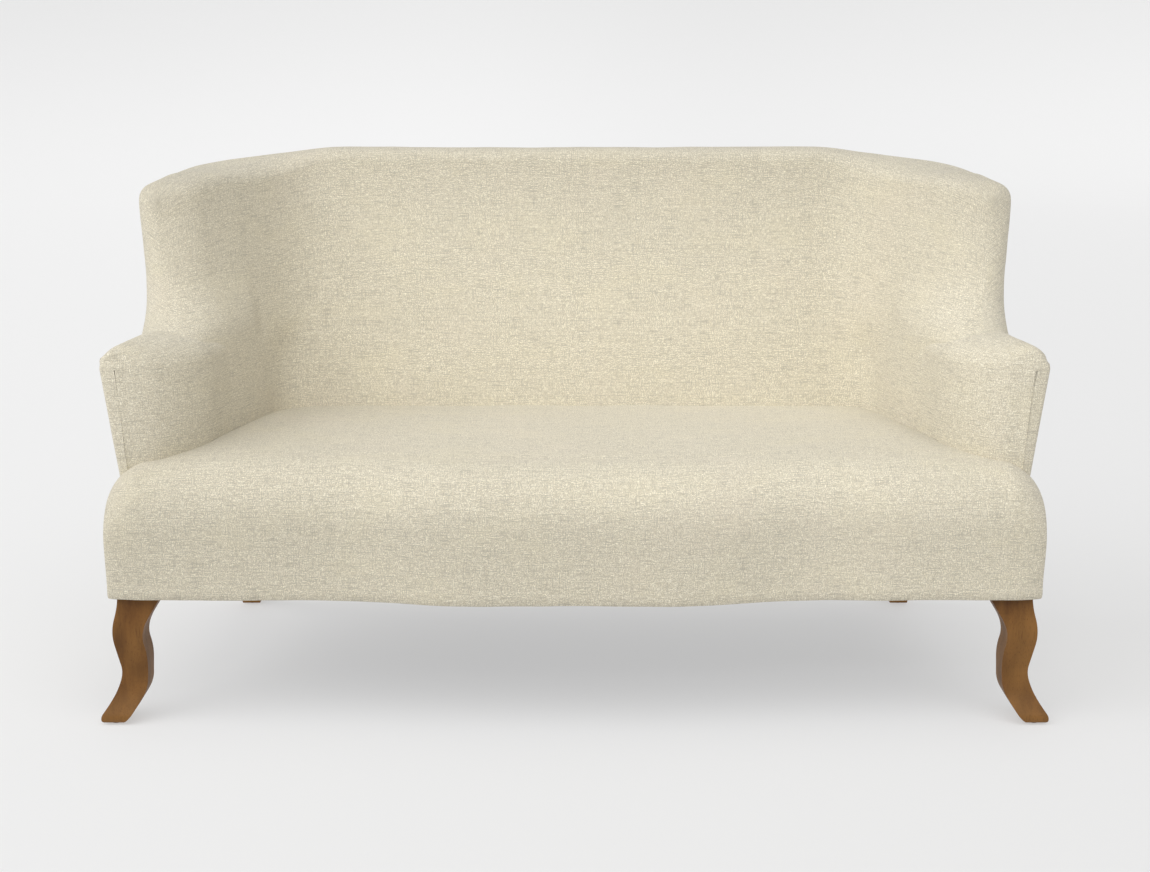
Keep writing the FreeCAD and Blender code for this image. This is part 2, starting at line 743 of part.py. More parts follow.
def armForm(inset):
    """The arm, from its nose back to the corner."""
    front = val("arm_front")
    back = val("arm_back")
    crest = val("arm_top")
    shoulder = val("arm_shoulder")
    straight = front + val("arm_nose_long")
    power = val("arm_nose_power")
    kneeShare = (crest - shoulder - coverLow) / (knee - coverLow)
    backHead = mix(kneeShare, val("outer_side_low"), val("outer_side_knee"))
    depths = [mix(share, straight, front) for share in (1.0, 0.97, 0.92, 0.83, 0.63, 0.33, 0.0)]
    depths = depths + [mix(share, straight, back) for share in (0.5, 1.0)]
    sections = []
    for station in depths:
        depth = station + inset.front * (back - station) / (back - front)
        along = (depth - front) / (back - front)
        behind = max(0.0, (depth - straight) / (back - straight))
        drawn = max(0.0, (straight - depth) / (straight - front))
        nose = val("arm_nose_wide") * (1 - (1 - drawn**power) ** (1 / power))
        edge = max(0.0, 1 - (depth - front) / val("arm_edge_long"))
        edgeIn = rounding(edge, val("arm_edge_wide"))
        innerFoot = mix(behind, val("arm_inner_front"), val("arm_inner_back")) + nose
        innerHead = innerFoot + val("arm_inner_lean")
        outerFoot = mix(along, val("arm_outer_low"), val("outer_side_low")) - edgeIn
        outerHead = mix(along, val("arm_outer_high"), backHead) - edgeIn
        top = crest - edgeIn
        inner = [(innerFoot, coverLow), (innerHead, top - shoulder)]
        outer = [(outerFoot, coverLow), (outerHead, top - shoulder)]
        inner, outer, top, bend = inset.apply(inner, outer, top, shoulder)
        y = yOf(depth)

        def place(across, z, y=y):
            return Vector(across, y, z)

        sections.append(bandWire(place, inner, outer, top, bend, 0))
    return sectionLoft(sections)


def cornerRadius(angle, side, back, power):
    """Distance from the corner's pivot of a squared ellipse through a side and a back value."""
    sideReach = side - cornerHalf
    backReach = back - val("arm_back")
    total = (math.cos(angle) / sideReach) ** power + (math.sin(angle) / backReach) ** power
    return total ** (-1 / power)


def cornerSection(angle, inset, place):
    """The section of the back at an angle about the corner's pivot, from the side to the back."""
    shoulder = val("crest_shoulder")
    drop = (val("crest_back") - val("crest_side")) * math.cos(angle) ** 1.5
    crest = val("crest_back") - drop
    heights = (("low", coverLow), ("knee", knee), ("high", crest - shoulder))
    inner = []
    outer = []
    for name, z in heights:
        side = val(f"inner_side_{name}")
        back = val(f"inner_back_{name}")
        inner.append((cornerRadius(angle, side, back, val("inner_power")), z))
        side = val(f"outer_side_{name}")
        back = val(f"outer_back_{name}")
        outer.append((cornerRadius(angle, side, back, val(f"outer_power_{name}")), z))
    inner, outer, crest, shoulder = inset.apply(inner, outer, crest, shoulder)
    return bandWire(place, inner, outer, crest, shoulder, val("back_bulge"))


def cornerForm(inset):
    """The corner of the back, from the arm's end round to the flat of the back."""
    sections = []
    for step in range(7):
        angle = math.radians(90) * step / 6
        along, back = (math.cos(angle), math.sin(angle)) if step < 6 else (0.0, 1.0)

        def place(reach, z, along=along, back=back):
            return Vector(cornerHalf + reach * along, cornerY + reach * back, z)

        sections.append(cornerSection(math.acos(along), inset, place))
    return sectionLoft(sections)


def backForm(inset):
    """The flat stretch of the back."""

    def place(reach, z):
        return Vector(-cornerHalf, cornerY + reach, z)

    section = cornerSection(math.acos(0.0), inset, place)
    return Part.Face(section).extrude(Vector(2 * cornerHalf, 0, 0))


def wingForm(inset):
    """The wing above the arm, from the corner forward to its rounded front edge."""
    shoulder = val("crest_shoulder")
    reach = val("arm_back") - val("wing_front_low")
    shorter = 1 - inset.front / reach
    noseStart = 1 - 1.2 * val("wing_nose") / reach
    sections = []
    noseShares = [mix(share, noseStart, 1) for share in (0.0, 0.5, 0.8, 0.95, 1.0)]
    for share in [0.0, 0.35] + noseShares:
        nose = rounding(max(0.0, (share - noseStart) / (1 - noseStart)), val("wing_nose"))
        crest = mix(share, val("crest_side"), val("crest_wing")) - nose
        inner = []
        outer = []
        for name, z in (("knee", knee), ("high", crest - shoulder)):
            inner.append((mix(share, val(f"inner_side_{name}"), val(f"wing_inner_{name}")) + nose, z))
            outer.append((mix(share, val(f"outer_side_{name}"), val(f"wing_outer_{name}")) - nose, z))
        inner, outer, crest, bend = inset.apply(inner, outer, crest, shoulder)
        low = mix(share * shorter, val("arm_back"), val("wing_front_low"))
        high = mix(share * shorter, val("arm_back"), val("wing_front_high"))
        rise = val("crest_side") - knee

        def place(across, z, low=low, high=high):
            return Vector(across, yOf(mix((z - knee) / rise, low, high)), z)

        bulge = val("back_bulge") * (1 - share)
        sections.append(bandWire(place, inner, outer, crest, bend, bulge))
    return sectionLoft(sections)


def seatRollForm(inset):
    """The right half of the seat's front, with its roll, its serpentine line and its ear."""
    half = val("border_half") - inset.outer
    rounded = val("border_round")
    flat = val("bow_flat_half")
    run = val("bow_run")
    back = yOf(val("border_depth"))
    halves = [0, flat, flat + run * 0.25, flat + run * 0.5, flat + run * 0.75, flat + run]
    halves = halves + [mix(0.5, flat + run, half - rounded)]
    halves = halves + [half - rounded * share for share in (1.0, 0.7, 0.4, 0.16, 0.04, 0.0)]
    sections = []
    for x in halves:
        drawn = max(0.0, (x - half + rounded) / rounded)
        crest = val("seat_top") - inset.top - rounding(drawn, rounded)
        front = yOf(inset.front - bowAt(x) + rounding(drawn, val("border_nose")))
        roll = min(val("seat_roll") - inset.top, (back - front) * 0.94, (crest - coverLow) * 0.9)
        diagonal = roll * (1 - math.sqrt(0.5))
        foot = Vector(x, front, coverLow)
        rise = Vector(x, front, crest - roll)
        turned = Vector(x, front + roll, crest)
        rear = Vector(x, back, crest)
        edges = [
            Part.makeLine(foot, rise),
            Part.Arc(rise, Vector(x, front + diagonal, crest - diagonal), turned).toShape(),
            Part.makeLine(turned, rear),
            Part.makeLine(rear, Vector(x, back, coverLow)),
            Part.makeLine(Vector(x, back, coverLow), foot),
        ]
        sections.append(Part.Wire(edges))
    return sectionLoft(sections)


def seatDeckForm(inset):
    """The right half of the seat between the arms, behind the roll, with its crown."""
    front = val("border_depth")
    noseEnd = val("arm_front") + val("arm_nose_long")
    back = mix(0.5, val("inner_back_knee"), val("outer_back_low"))
    top = val("seat_top") - inset.top
    sections = []
    for depth in [mix(share, front, noseEnd) for share in (0.0, 0.35, 0.7, 1.0)] + [
        mix(share, noseEnd, back) for share in (0.25, 0.5, 0.75, 1.0)
    ]:
        drawn = max(0.0, (noseEnd - depth) / val("arm_nose_long"))
        power = val("arm_nose_power")
        nose = val("arm_nose_wide") * (1 - (1 - drawn**power) ** (1 / power))
        behind = max(0.0, (depth - noseEnd) / (val("arm_back") - noseEnd))
        half = mix(min(behind, 1.0), val("arm_inner_front"), val("arm_inner_back")) + nose
        half = half + val("seat_tuck")
        along = (depth - front) / (back - front)
        crown = 1 + val("seat_crown") * math.sin(math.pi * along)
        y = yOf(depth)
        radius = (half**2 + crown**2) / (2 * crown)
        between = crown - radius + math.sqrt(radius**2 - (half / 2) ** 2)
        corners = [(0, coverLow), (half, coverLow), (half, top), (0, top + crown)]
        points = [Vector(x, y, z) for x, z in corners]
        edges = [
            Part.makeLine(points[0], points[1]),
            Part.makeLine(points[1], points[2]),
            Part.Arc(points[2], Vector(half / 2, y, top + between), points[3]).toShape(),
            Part.makeLine(points[3], points[0]),
        ]
        sections.append(Part.Wire(edges))
    return sectionLoft(sections)


def mainSolid(shape):
    """The one solid of a trimmed form, without the shavings that a cut can leave."""
    return max(shape.Solids, key=lambda solid: solid.Volume)


def bothSides(label, shape):
    shapePart(f"{label}_right", shape)
    shapePart(f"{label}_left", mirrored(shape))


# Sheets and upholstery stand on the deck, which lies on the clips and the springs
hessianLow = railHigh + val("spring_wire") + 2 * val("clip_wall")
deckTop = hessianLow + val("hessian_thickness")
wide = 2000
belowDeck = slab(-wide, wide, -wide, wide, 0, deckTop)

armFull = armForm(finished)
armUnder = armForm(underCover)
armShell = armFull.cut(armUnder)
armOutside = armForm(armSkin)
doc.recompute()
wingPost = doc.getObject("wing_post_right").Shape
bothSides("arm_cover", mainSolid(armShell.cut([armOutside, belowDeck, wingPost])))
bothSides("outside_arm", mainSolid(armShell.common(armOutside)))
bothSides("arm_foam", mainSolid(armUnder.cut([armForm(armHollow), belowDeck, wingPost])))

wingFull = cornerForm(finished).fuse(wingForm(finished))
wingUnder = cornerForm(underCover).fuse(wingForm(underCover))
wingShell = wingFull.cut([wingUnder, armFull])
wingOutside = cornerForm(backSkin).fuse(wingForm(backSkin))
wingInside = cornerForm(wingHollow).fuse(wingForm(wingHollow))
bothSides("wing_cover", mainSolid(wingShell.cut([wingOutside, belowDeck])))
bothSides("outside_wing", mainSolid(wingShell.common(wingOutside)))
bothSides("wing_foam", mainSolid(wingUnder.cut([wingInside, armFull, belowDeck])))

backFull = backForm(finished)
backUnder = backForm(underCover)
backShell = backFull.cut(backUnder)
backOutside = backForm(backSkin)
shapePart("back_cover", mainSolid(backShell.cut([backOutside, belowDeck])))
shapePart("outside_back", mainSolid(backShell.common(backOutside)))
hollowTop = val("crest_back") - railInset


def backHollow():
    """The space of the back frame, behind the webbing and under the crest's padding."""
    section = rakedSection("rail_bottom", f"{hollowTop}", "webbing_thickness", "front_to_origin")
    points = [Vector(-wide, val(y), val(z)) for y, z in section]
    return Part.Face(Part.makePolygon(points + points[:1])).extrude(Vector(2 * wide, 0, 0))


shapePart("back_foam", mainSolid(backUnder.cut([backHollow(), belowDeck])))

railOutline = serpentine(railFront, railEnd, False) + [
    (railEnd, "outer_back_high - front_to_origin"),
    (f"-{railEnd}", "outer_back_high - front_to_origin"),
]
underDeck = planFace(railOutline, 0).extrude(Vector(0, 0, deckTop))


def seatPiece(half):
    """Both halves of a seat form, fitted round the frame, the arms, the wings and the back."""
    for neighbour in (underDeck, armFull, wingFull, backFull):
        half = mainSolid(half.cut(neighbour))
    return mainSolid(half.fuse(mirrored(half)).removeSplitter())


seatFull = seatRollForm(finished).fuse(seatDeckForm(finished))
seatUnder = seatRollForm(underCover).fuse(seatDeckForm(underCover))
shapePart("seat_cover", seatPiece(mainSolid(seatFull.cut(seatUnder))))
shapePart("seat_foam", seatPiece(seatUnder))

# Legs, their bolts and inserts, and the floor glides
glide = val("glide_thickness")
boltFoot = railLow - val("bolt_in_leg")


def squareWire(x, y, z, width):
    half = width / 2
    points = [Vector(x + a * half, y + b * half, z) for a, b in ((-1, -1), (1, -1), (1, 1), (-1, 1))]
    return Part.makePolygon(points + points[:1])


def frontLeg():
    """A square cabriole leg that bends the same way to the side and to the front."""
    head = val("front_leg_head")
    kneeWidth = val("front_leg_knee")
    ankle = val("front_leg_ankle")
    foot = val("front_leg_foot")
    kneeOut = val("knee_out")
    ankleOut = val("ankle_out")
    footOut = val("foot_out")
    stations = [
        (1.00, 0, head),
        (0.86, 0.55 * kneeOut, mix(0.6, head, kneeWidth)),
        (0.66, kneeOut, kneeWidth),
        (0.48, mix(0.85, kneeOut, ankleOut), mix(0.4, kneeWidth, ankle)),
        (0.37, ankleOut, ankle),
        (0.26, mix(0.12, ankleOut, footOut), mix(0.8, ankle, foot)),
        (0.15, mix(0.48, ankleOut, footOut), foot),
        (0.06, mix(0.87, ankleOut, footOut), foot),
        (0.02, footOut, 0.84 * foot),
        (0.00, footOut, val("front_leg_sole")),
    ]
    x = val("front_leg_half")
    y = yOf(val("front_leg_depth"))
    height = railLow - glide
    wires = [squareWire(x + out, y - out, glide + share * height, width) for share, out, width in stations]
    return sectionLoft(wires)


def rearLeg():
    """A square tapered leg raked to the back."""
    x = val("rear_leg_half")
    y = yOf(val("rear_leg_depth"))
    rake = val("rear_leg_rake")
    foot = squareWire(x, y + rake, glide, val("rear_leg_foot"))
    head = squareWire(x, y, railLow, val("rear_leg_head"))
    return Part.makeLoft([foot, head], True, True)


bolts = []
inserts = []
legs = {}
for end, depth, leg in (("front", frontBoltDepth, frontLeg()), ("rear", rearBoltDepth, rearLeg())):
    foot = Vector(val(sideMiddle(depth)), yOf(val(depth)), boltFoot)
    clearance = val("hole_clearance")
    drill = Part.makeCylinder(val("bolt_radius") + clearance, val("bolt_in_leg") + 1, foot - Vector(0, 0, 1))
    legs[end] = mainSolid(leg.cut(drill))
    bothSides(f"{end}_leg", legs[end])
    bolts.append(Part.makeCylinder(val("bolt_radius"), val("bolt_length"), foot))
    mouth = Vector(foot.x, foot.y, railLow)
    sleeve = Part.makeCylinder(val("insert_radius"), val("insert_length"), mouth)
    bore = Part.makeCylinder(val("bolt_radius") + clearance, val("insert_length"), mouth)
    inserts.append(sleeve.cut(bore))
shapePart("leg_bolts", Part.makeCompound(bolts + [mirrored(bolt) for bolt in bolts]))
shapePart("leg_inserts", Part.makeCompound(inserts + [mirrored(insert) for insert in inserts]))
frontSole = Vector(val("front_leg_half + foot_out"), yOf(val("front_leg_depth - foot_out")), 0)
rearSole = Vector(val("rear_leg_half"), yOf(val("rear_leg_depth + rear_leg_rake")), 0)
glides = [Part.makeCylinder(val("glide_radius"), glide, spot) for spot in (frontSole, rearSole)]
shapePart("floor_glides", Part.makeCompound(glides + [mirrored(one) for one in glides]))

# Hessian over the springs and the dust cover below the frame
sheetSetback = "(border_padding + cover_thickness + rail_thickness / 4)"
sheetBack = "rear_rail_depth + rail_thickness / 3 - front_to_origin"
sheetOutline = serpentine(sheetSetback, "(side_rail_front - rail_thickness / 2)", False) + [
    ("side_rail_back - rail_thickness / 2", sheetBack),
    ("-(side_rail_back - rail_thickness / 2)", sheetBack),
]
doc.recompute()
sides = ("left", "right")
postNames = [f"{name}_{side}" for side in sides for name in ("arm_post", "wing_post", "back_post")]
posts = [doc.getObject(name).Shape for name in postNames]
posts.append(doc.getObject("back_middle_foot").Shape)
hessian = planFace(sheetOutline, hessianLow).extrude(Vector(0, 0, val("hessian_thickness")))
shapePart("seat_hessian", mainSolid(hessian.cut(posts)))
dustThickness = val("dust_thickness")
dustSheet = planFace(sheetOutline, railLow - dustThickness).extrude(Vector(0, 0, dustThickness))
legShapes = list(legs.values()) + [mirrored(leg) for leg in legs.values()]
shapePart("dust_cover", mainSolid(dustSheet.cut(legShapes)))

# Every object is tested before anything is written
doc.recompute()
for item in doc.Objects:
    if "Invalid" in item.State or "Error" in item.State:
        raise RuntimeError(f"{item.Label} is {item.State}")
used = set()
for item in doc.Objects:
    if item.TypeId in ("Part::Cut", "Part::MultiFuse"):
        used.update(tool.Name for tool in item.OutList)
kinds = ("PartDesign::Body", "Part::Box", "Part::Cut", "Part::Feature")
subparts = [item for item in doc.Objects if item.TypeId in kinds and item.Name not in used]
for item in subparts:
    shape = item.Shape
    if shape.isNull() or not shape.isValid() or not shape.Solids:
        raise RuntimeError(f"{item.Label} has no valid shape")
for item in subparts:
    item.Shape.exportStep(f"parts/{item.Label}.step")
print(len(subparts), "sub-parts")
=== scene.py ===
import json
import math
import bpy
import bmesh
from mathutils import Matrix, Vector, noise


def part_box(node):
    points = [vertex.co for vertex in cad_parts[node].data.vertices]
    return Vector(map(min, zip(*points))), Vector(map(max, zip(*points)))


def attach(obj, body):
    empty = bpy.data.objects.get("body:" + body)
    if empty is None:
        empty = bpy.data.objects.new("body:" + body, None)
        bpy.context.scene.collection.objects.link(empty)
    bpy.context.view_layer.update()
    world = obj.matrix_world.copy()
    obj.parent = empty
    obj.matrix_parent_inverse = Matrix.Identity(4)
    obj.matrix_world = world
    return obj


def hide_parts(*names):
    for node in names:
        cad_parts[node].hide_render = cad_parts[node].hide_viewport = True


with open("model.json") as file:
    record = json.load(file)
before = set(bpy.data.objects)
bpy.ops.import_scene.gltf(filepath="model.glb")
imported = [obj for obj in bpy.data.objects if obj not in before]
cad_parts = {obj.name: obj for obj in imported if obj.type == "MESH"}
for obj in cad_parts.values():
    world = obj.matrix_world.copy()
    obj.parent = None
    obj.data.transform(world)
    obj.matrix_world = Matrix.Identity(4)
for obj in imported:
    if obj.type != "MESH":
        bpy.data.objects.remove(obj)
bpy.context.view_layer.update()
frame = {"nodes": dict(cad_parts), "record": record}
bpy.ops.object.select_all(action="DESELECT")
scene = bpy.context.scene
nodes = frame["nodes"]
print("frame loaded")

# the settee's own measure: a depth runs back from the flat ends of the seat's front
settee = {
    "frontToOrigin": 0.346,
    "coverEdge": 0.221,      # lower edge of the covers, at the rails' underside
    "deckTop": 0.3117,       # the springs and hessian that the pads stand on
    "pivotHalf": 0.480,      # the corners of the back turn about this line,
    "pivotDepth": 0.440,     # where the arms end
    "flatEnd": 0.460,        # the inside back is flat as far as this
}


def yOf(depth):
    return depth - settee["frontToOrigin"]


def mix(share, first, last):
    return first + (last - first) * share


def evenSteps(first, last, count):
    return [mix(n / count, first, last) for n in range(count + 1)]


def quarterTurn(count):
    return evenSteps(0.0, math.pi / 2, count)


def smoothStep(share):
    share = min(max(share, 0.0), 1.0)
    return share * share * (3 - 2 * share)


def alongCurve(knots, at):
    # soft curve through knots of (place, value)
    if at <= knots[0][0]:
        return knots[0][1]
    if at >= knots[-1][0]:
        return knots[-1][1]
    index = 0
    while at > knots[index + 1][0]:
        index += 1
    (a, fa), (b, fb) = knots[index], knots[index + 1]
    before = knots[index - 1] if index > 0 else (2 * a - b, 2 * fa - fb)
    after = knots[index + 2] if index + 2 < len(knots) else (2 * b - a, 2 * fb - fa)
    slopeA = (fb - before[1]) / (b - before[0])
    slopeB = (after[1] - fa) / (after[0] - a)
    t = (at - a) / (b - a)
    start = (2 * t**3 - 3 * t**2 + 1) * fa + (t**3 - 2 * t**2 + t) * (b - a) * slopeA
    return start + (3 * t**2 - 2 * t**3) * fb + (t**3 - t**2) * (b - a) * slopeB


def ellipse(share):
    return math.sqrt(max(0.0, 1 - share * share))


# hand-pulled cloth is never quite flat: its slack, and folds where it was pulled over a join
clothShape = {
    "broadPace": 6.0,
    "broadHigh": 0.0016,
    "closePace": 21.0,
    "closeHigh": 0.0006,
    "closeShift": (7, 3, 1),
    "foldReach": 0.035,
    "foldFade": 0.25,        # share of a fold's length over which each end fades
    "creaseFade": 0.6,       # the same for a crease, at its inner end alone
    "depthWeight": 0.4,      # a fold's line lies this much looser in depth than across
    # height, width and the line it follows, by half, depth and height; a crease lies below the surface
    "folds": (
        (0.0018, 0.0050, ((-0.681, 0.280, 0.676), (-0.663, 0.264, 0.657), (-0.645, 0.250, 0.638))),
        (0.0016, 0.0055, ((0.708, 0.280, 0.669), (0.735, 0.260, 0.666), (0.753, 0.220, 0.650),
                          (0.771, 0.200, 0.635))),
        (-0.0034, 0.0034, ((-0.808, 0.090, 0.620), (-0.792, 0.088, 0.630), (-0.774, 0.086, 0.635),
                           (-0.750, 0.086, 0.638))),
        (-0.0034, 0.0034, ((0.808, 0.090, 0.620), (0.794, 0.088, 0.629), (0.776, 0.086, 0.634))),
    ),
}


def foldFade(along, raised):
    left = 1 - along
    if raised:
        return smoothStep(along / clothShape["foldFade"]) * smoothStep(left / clothShape["foldFade"])
    return smoothStep(left / clothShape["creaseFade"])


def foldLift(point):
    reach, weight = clothShape["foldReach"], clothShape["depthWeight"]
    place = Vector((point.x, (point.y + settee["frontToOrigin"]) * weight, point.z))
    lift = 0.0
    for height, width, line in clothShape["folds"]:
        if abs(point.x - line[0][0]) > reach * 3 or abs(point.z - line[0][2]) > reach * 2:
            continue
        knots = [Vector((x, depth * weight, z)) for x, depth, z in line]
        total = sum((b - a).length for a, b in zip(knots, knots[1:]))
        nearest, along, gone = 1.0, 0.0, 0.0
        for a, b in zip(knots, knots[1:]):
            step = (b - a).length
            share = min(1.0, max(0.0, (place - a).dot(b - a) / step**2))
            away = (place - a.lerp(b, share)).length
            if away < nearest:
                nearest, along = away, (gone + share * step) / total
            gone += step
        if nearest < reach:
            lift += height * foldFade(along, height > 0) * math.exp(-((nearest / width) ** 2))
    return lift


def slack(point, size=1.0):
    shape = clothShape
    broad = noise.noise(point * shape["broadPace"]) * shape["broadHigh"]
    close = noise.noise(point * shape["closePace"] + Vector(shape["closeShift"])) * shape["closeHigh"]
    return (broad + close) * size + foldLift(point) * min(1.0, size * 2)


def gridNormals(grid):
    wide, tall = len(grid), len(grid[0])
    normals = []
    for i in range(wide):
        column = []
        for j in range(tall):
            along = grid[min(i + 1, wide - 1)][j] - grid[max(i - 1, 0)][j]
            up = grid[i][min(j + 1, tall - 1)] - grid[i][max(j - 1, 0)]
            normal = along.cross(up)
            column.append(normal.normalized() if normal.length > 1e-12 else Vector((0, 0, 0)))
        normals.append(column)
    return normals


def softened(skin, size=1.0, still=1):
    # moves the outside in and out a little, along its own normals; the end columns lie still
    normals = gridNormals(skin)
    last = len(skin) - 1
    moved = []
    for i, column in enumerate(skin):
        share = size * min(1.0, min(i, last - i) / still)
        moved.append([point + normals[i][j] * slack(point, share) for j, point in enumerate(column)])
    return moved


def mirroredGrid(grid):
    return [[Vector((-p.x, p.y, p.z)) for p in column] for column in grid]


def wholeGrid(half):
    # a half grid from the middle outwards, with its mirror image before it
    return mirroredGrid(half[:0:-1]) + list(half)


# both sides of what comes in pairs, each with what makes its grid of the right one
pairs = (("right", lambda grid: grid), ("left", mirroredGrid))


def paceAlong(grid, evenRows):
    # how far each point lies from the middle column, and up from the first row: the first rows lie as
    # in the middle column, so that the weft runs straight; with no such rows it starts at the last row
    wide, tall = len(grid), len(grid[0])
    middle = wide // 2
    across = [[0.0] * tall for i in range(wide)]
    along = [[0.0] * tall for i in range(wide)]
    for j in range(tall):
        for i in range(middle + 1, wide):
            across[i][j] = across[i - 1][j] + (grid[i][j] - grid[i - 1][j]).length
        for i in range(middle - 1, -1, -1):
            across[i][j] = across[i + 1][j] - (grid[i + 1][j] - grid[i][j]).length
    for i in range(wide):
        for j in range(1, tall):
            paced = grid[middle] if j < evenRows else grid[i]
            along[i][j] = along[i][j - 1] + (paced[j] - paced[j - 1]).length
        if evenRows == 0:
            along[i] = [value - along[i][-1] for value in along[i]]
    return across, along


weldReach = 0.00001


def shellMesh(name, skin, lining, evenRows=None, facing=None):
    # two grids of points, the outside and the inside of a pad, joined along their four rims; all rows
    # are even where none are counted, and from the facing column on the cloth lies flat to the front
    wide, tall = len(skin), len(skin[0])
    count = wide * tall
    points = [p for column in skin for p in column] + [p for column in lining for p in column]
    faces = []
    for i in range(wide - 1):
        for j in range(tall - 1):
            a, b = i * tall + j, (i + 1) * tall + j
            faces.append((a, b, b + 1, a + 1))
            faces.append((count + a, count + a + 1, count + b + 1, count + b))
    for i in range(wide - 1):
        for a, b in ((i * tall, (i + 1) * tall), ((i + 2) * tall - 1, (i + 1) * tall - 1)):
            faces.append((a, count + a, count + b, b))
    last = (wide - 1) * tall
    for j in range(tall - 1):
        faces.append((j, j + 1, count + j + 1, count + j))
        faces.append((last + j, count + last + j, count + last + j + 1, last + j + 1))
    mesh = bpy.data.meshes.new(name)
    mesh.from_pydata(points, [], faces)
    across, along = paceAlong(skin, tall if evenRows is None else evenRows)
    cloth = mesh.uv_layers.new(name="cloth")
    for polygon in mesh.polygons:
        spots = [divmod(vertex % count, tall) for vertex in polygon.vertices]
        flat = facing is not None and min(i for i, j in spots) >= facing
        for loop, (i, j) in zip(polygon.loop_indices, spots):
            cloth.data[loop].uv = (skin[i][j].x, skin[i][j].z) if flat else (across[i][j], along[i][j])
    piece = bpy.data.objects.new(name, mesh)
    scene.collection.objects.link(piece)
    shaped = bmesh.new()
    shaped.from_mesh(mesh)
    bmesh.ops.remove_doubles(shaped, verts=shaped.verts, dist=weldReach)
    bmesh.ops.recalc_face_normals(shaped, faces=shaped.faces)
    shaped.to_mesh(mesh)
    shaped.free()
    for polygon in mesh.polygons:
        polygon.use_smooth = True
    return piece


# materials: small helpers first
def startMaterial(name, roughness, specular=0.5):
    material = bpy.data.materials.new(name)
    material.use_nodes = True
    shader = material.node_tree.nodes["Principled BSDF"]
    shader.inputs["Roughness"].default_value = roughness
    shader.inputs["Specular IOR Level"].default_value = specular
    return material, material.node_tree, shader


def feed(tree, socket, value):
    if isinstance(value, bpy.types.NodeSocket):
        tree.links.new(value, socket)
    else:
        socket.default_value = value


def calc(tree, operation, first, second=0.0):
    node = tree.nodes.new("ShaderNodeMath")
    node.operation = operation
    feed(tree, node.inputs[0], first)
    feed(tree, node.inputs[1], second)
    return node.outputs[0]


def separated(tree, vector):
    node = tree.nodes.new("ShaderNodeSeparateXYZ")
    tree.links.new(vector, node.inputs[0])
    return node.outputs


def grainAt(tree, place, stretch, scale, detail, roughness, shift=(0, 0, 0)):
    # noise drawn out by a stretch along each axis
    mapping = tree.nodes.new("ShaderNodeMapping")
    tree.links.new(place, mapping.inputs["Vector"])
    mapping.inputs["Scale"].default_value = stretch
    mapping.inputs["Location"].default_value = shift
    node = tree.nodes.new("ShaderNodeTexNoise")
    tree.links.new(mapping.outputs[0], node.inputs["Vector"])
    node.inputs["Scale"].default_value = scale
    node.inputs["Detail"].default_value = detail
    node.inputs["Roughness"].default_value = roughness
    return node.outputs[0]


def spread(tree, value, low, high, newLow=0.0, newHigh=1.0):
    node = tree.nodes.new("ShaderNodeMapRange")
    node.interpolation_type = "SMOOTHSTEP"
    for socket, given in zip(node.inputs, (value, low, high, newLow, newHigh)):
        feed(tree, socket, given)
    return node.outputs[0]


def tint(tree, factor, first, second):
    node = tree.nodes.new("ShaderNodeMix")
    node.data_type = "RGBA"
    feed(tree, node.inputs[0], factor)
    feed(tree, node.inputs[6], first)
    feed(tree, node.inputs[7], second)
    return node.outputs[2]


def raiseGrain(tree, shader, height, distance, strength):
    bump = tree.nodes.new("ShaderNodeBump")
    bump.inputs["Strength"].default_value = strength
    bump.inputs["Distance"].default_value = distance
    tree.links.new(height, bump.inputs["Height"])
    tree.links.new(bump.outputs[0], shader.inputs["Normal"])


def objectPlace(tree):
    return tree.nodes.new("ShaderNodeTexCoord").outputs["Object"]


linenLook = {
    "thread": 0.00095,       # spacing of the threads
    "over": 0.25,            # how softly one thread passes over the next
    "pale": (0.985, 0.925, 0.750, 1),
    "beige": (0.585, 0.522, 0.388, 1),
    "grey": (0.400, 0.368, 0.298, 1),
    "straw": (0.840, 0.760, 0.520, 1),
    "rose": (0.780, 0.680, 0.560, 1),
    "paintedHollowShade": 0.25,          # painted shade: how much greyer the hollows between the threads are painted
    "roughness": 0.92,
    "specular": 0.25,
    "sheen": 0.20,
    "sheenRoughness": 0.5,
    "bump": 0.0005,
    "bumpStrength": 0.8,
    # marks in the yarn: the noise's stretch, scale, detail, roughness and shift, the values where a mark
    # starts and where it is full, then its share and its colour
    "marks": {
        "warpStreak": ((540, 130, 1), 1.0, 1.0, 0.5, (0, 0, 0), 0.36, 0.64, 0.55, "beige"),
        "weftStreak": ((110, 520, 1), 1.0, 1.0, 0.5, (3, 8, 0), 0.36, 0.64, 0.58, "beige"),
        "longStreak": ((9, 330, 1), 1.0, 1.0, 0.5, (5, 1, 0), 0.56, 0.72, 0.42, "pale"),
        "fleck": ((1, 1, 1), 520.0, 0.0, 0.5, (0, 0, 0), 0.34, 0.66, 0.62, "grey"),
        "weftSlub": ((30, 480, 1), 1.0, 0.0, 0.5, (6, 2, 0), 0.60, 0.72, 0.45, "grey"),
        "warpSlub": ((480, 34, 1), 1.0, 0.0, 0.5, (1, 9, 0), 0.62, 0.74, 0.35, "grey"),
        "patch": ((1, 1.6, 1), 7.0, 3.0, 0.55, (2, 5, 0), 0.45, 0.75, 0.14, "straw"),
        "blush": ((1.4, 1, 1), 4.0, 2.0, 0.5, (9, 2, 0), 0.50, 0.80, 0.15, "rose"),
    },
}


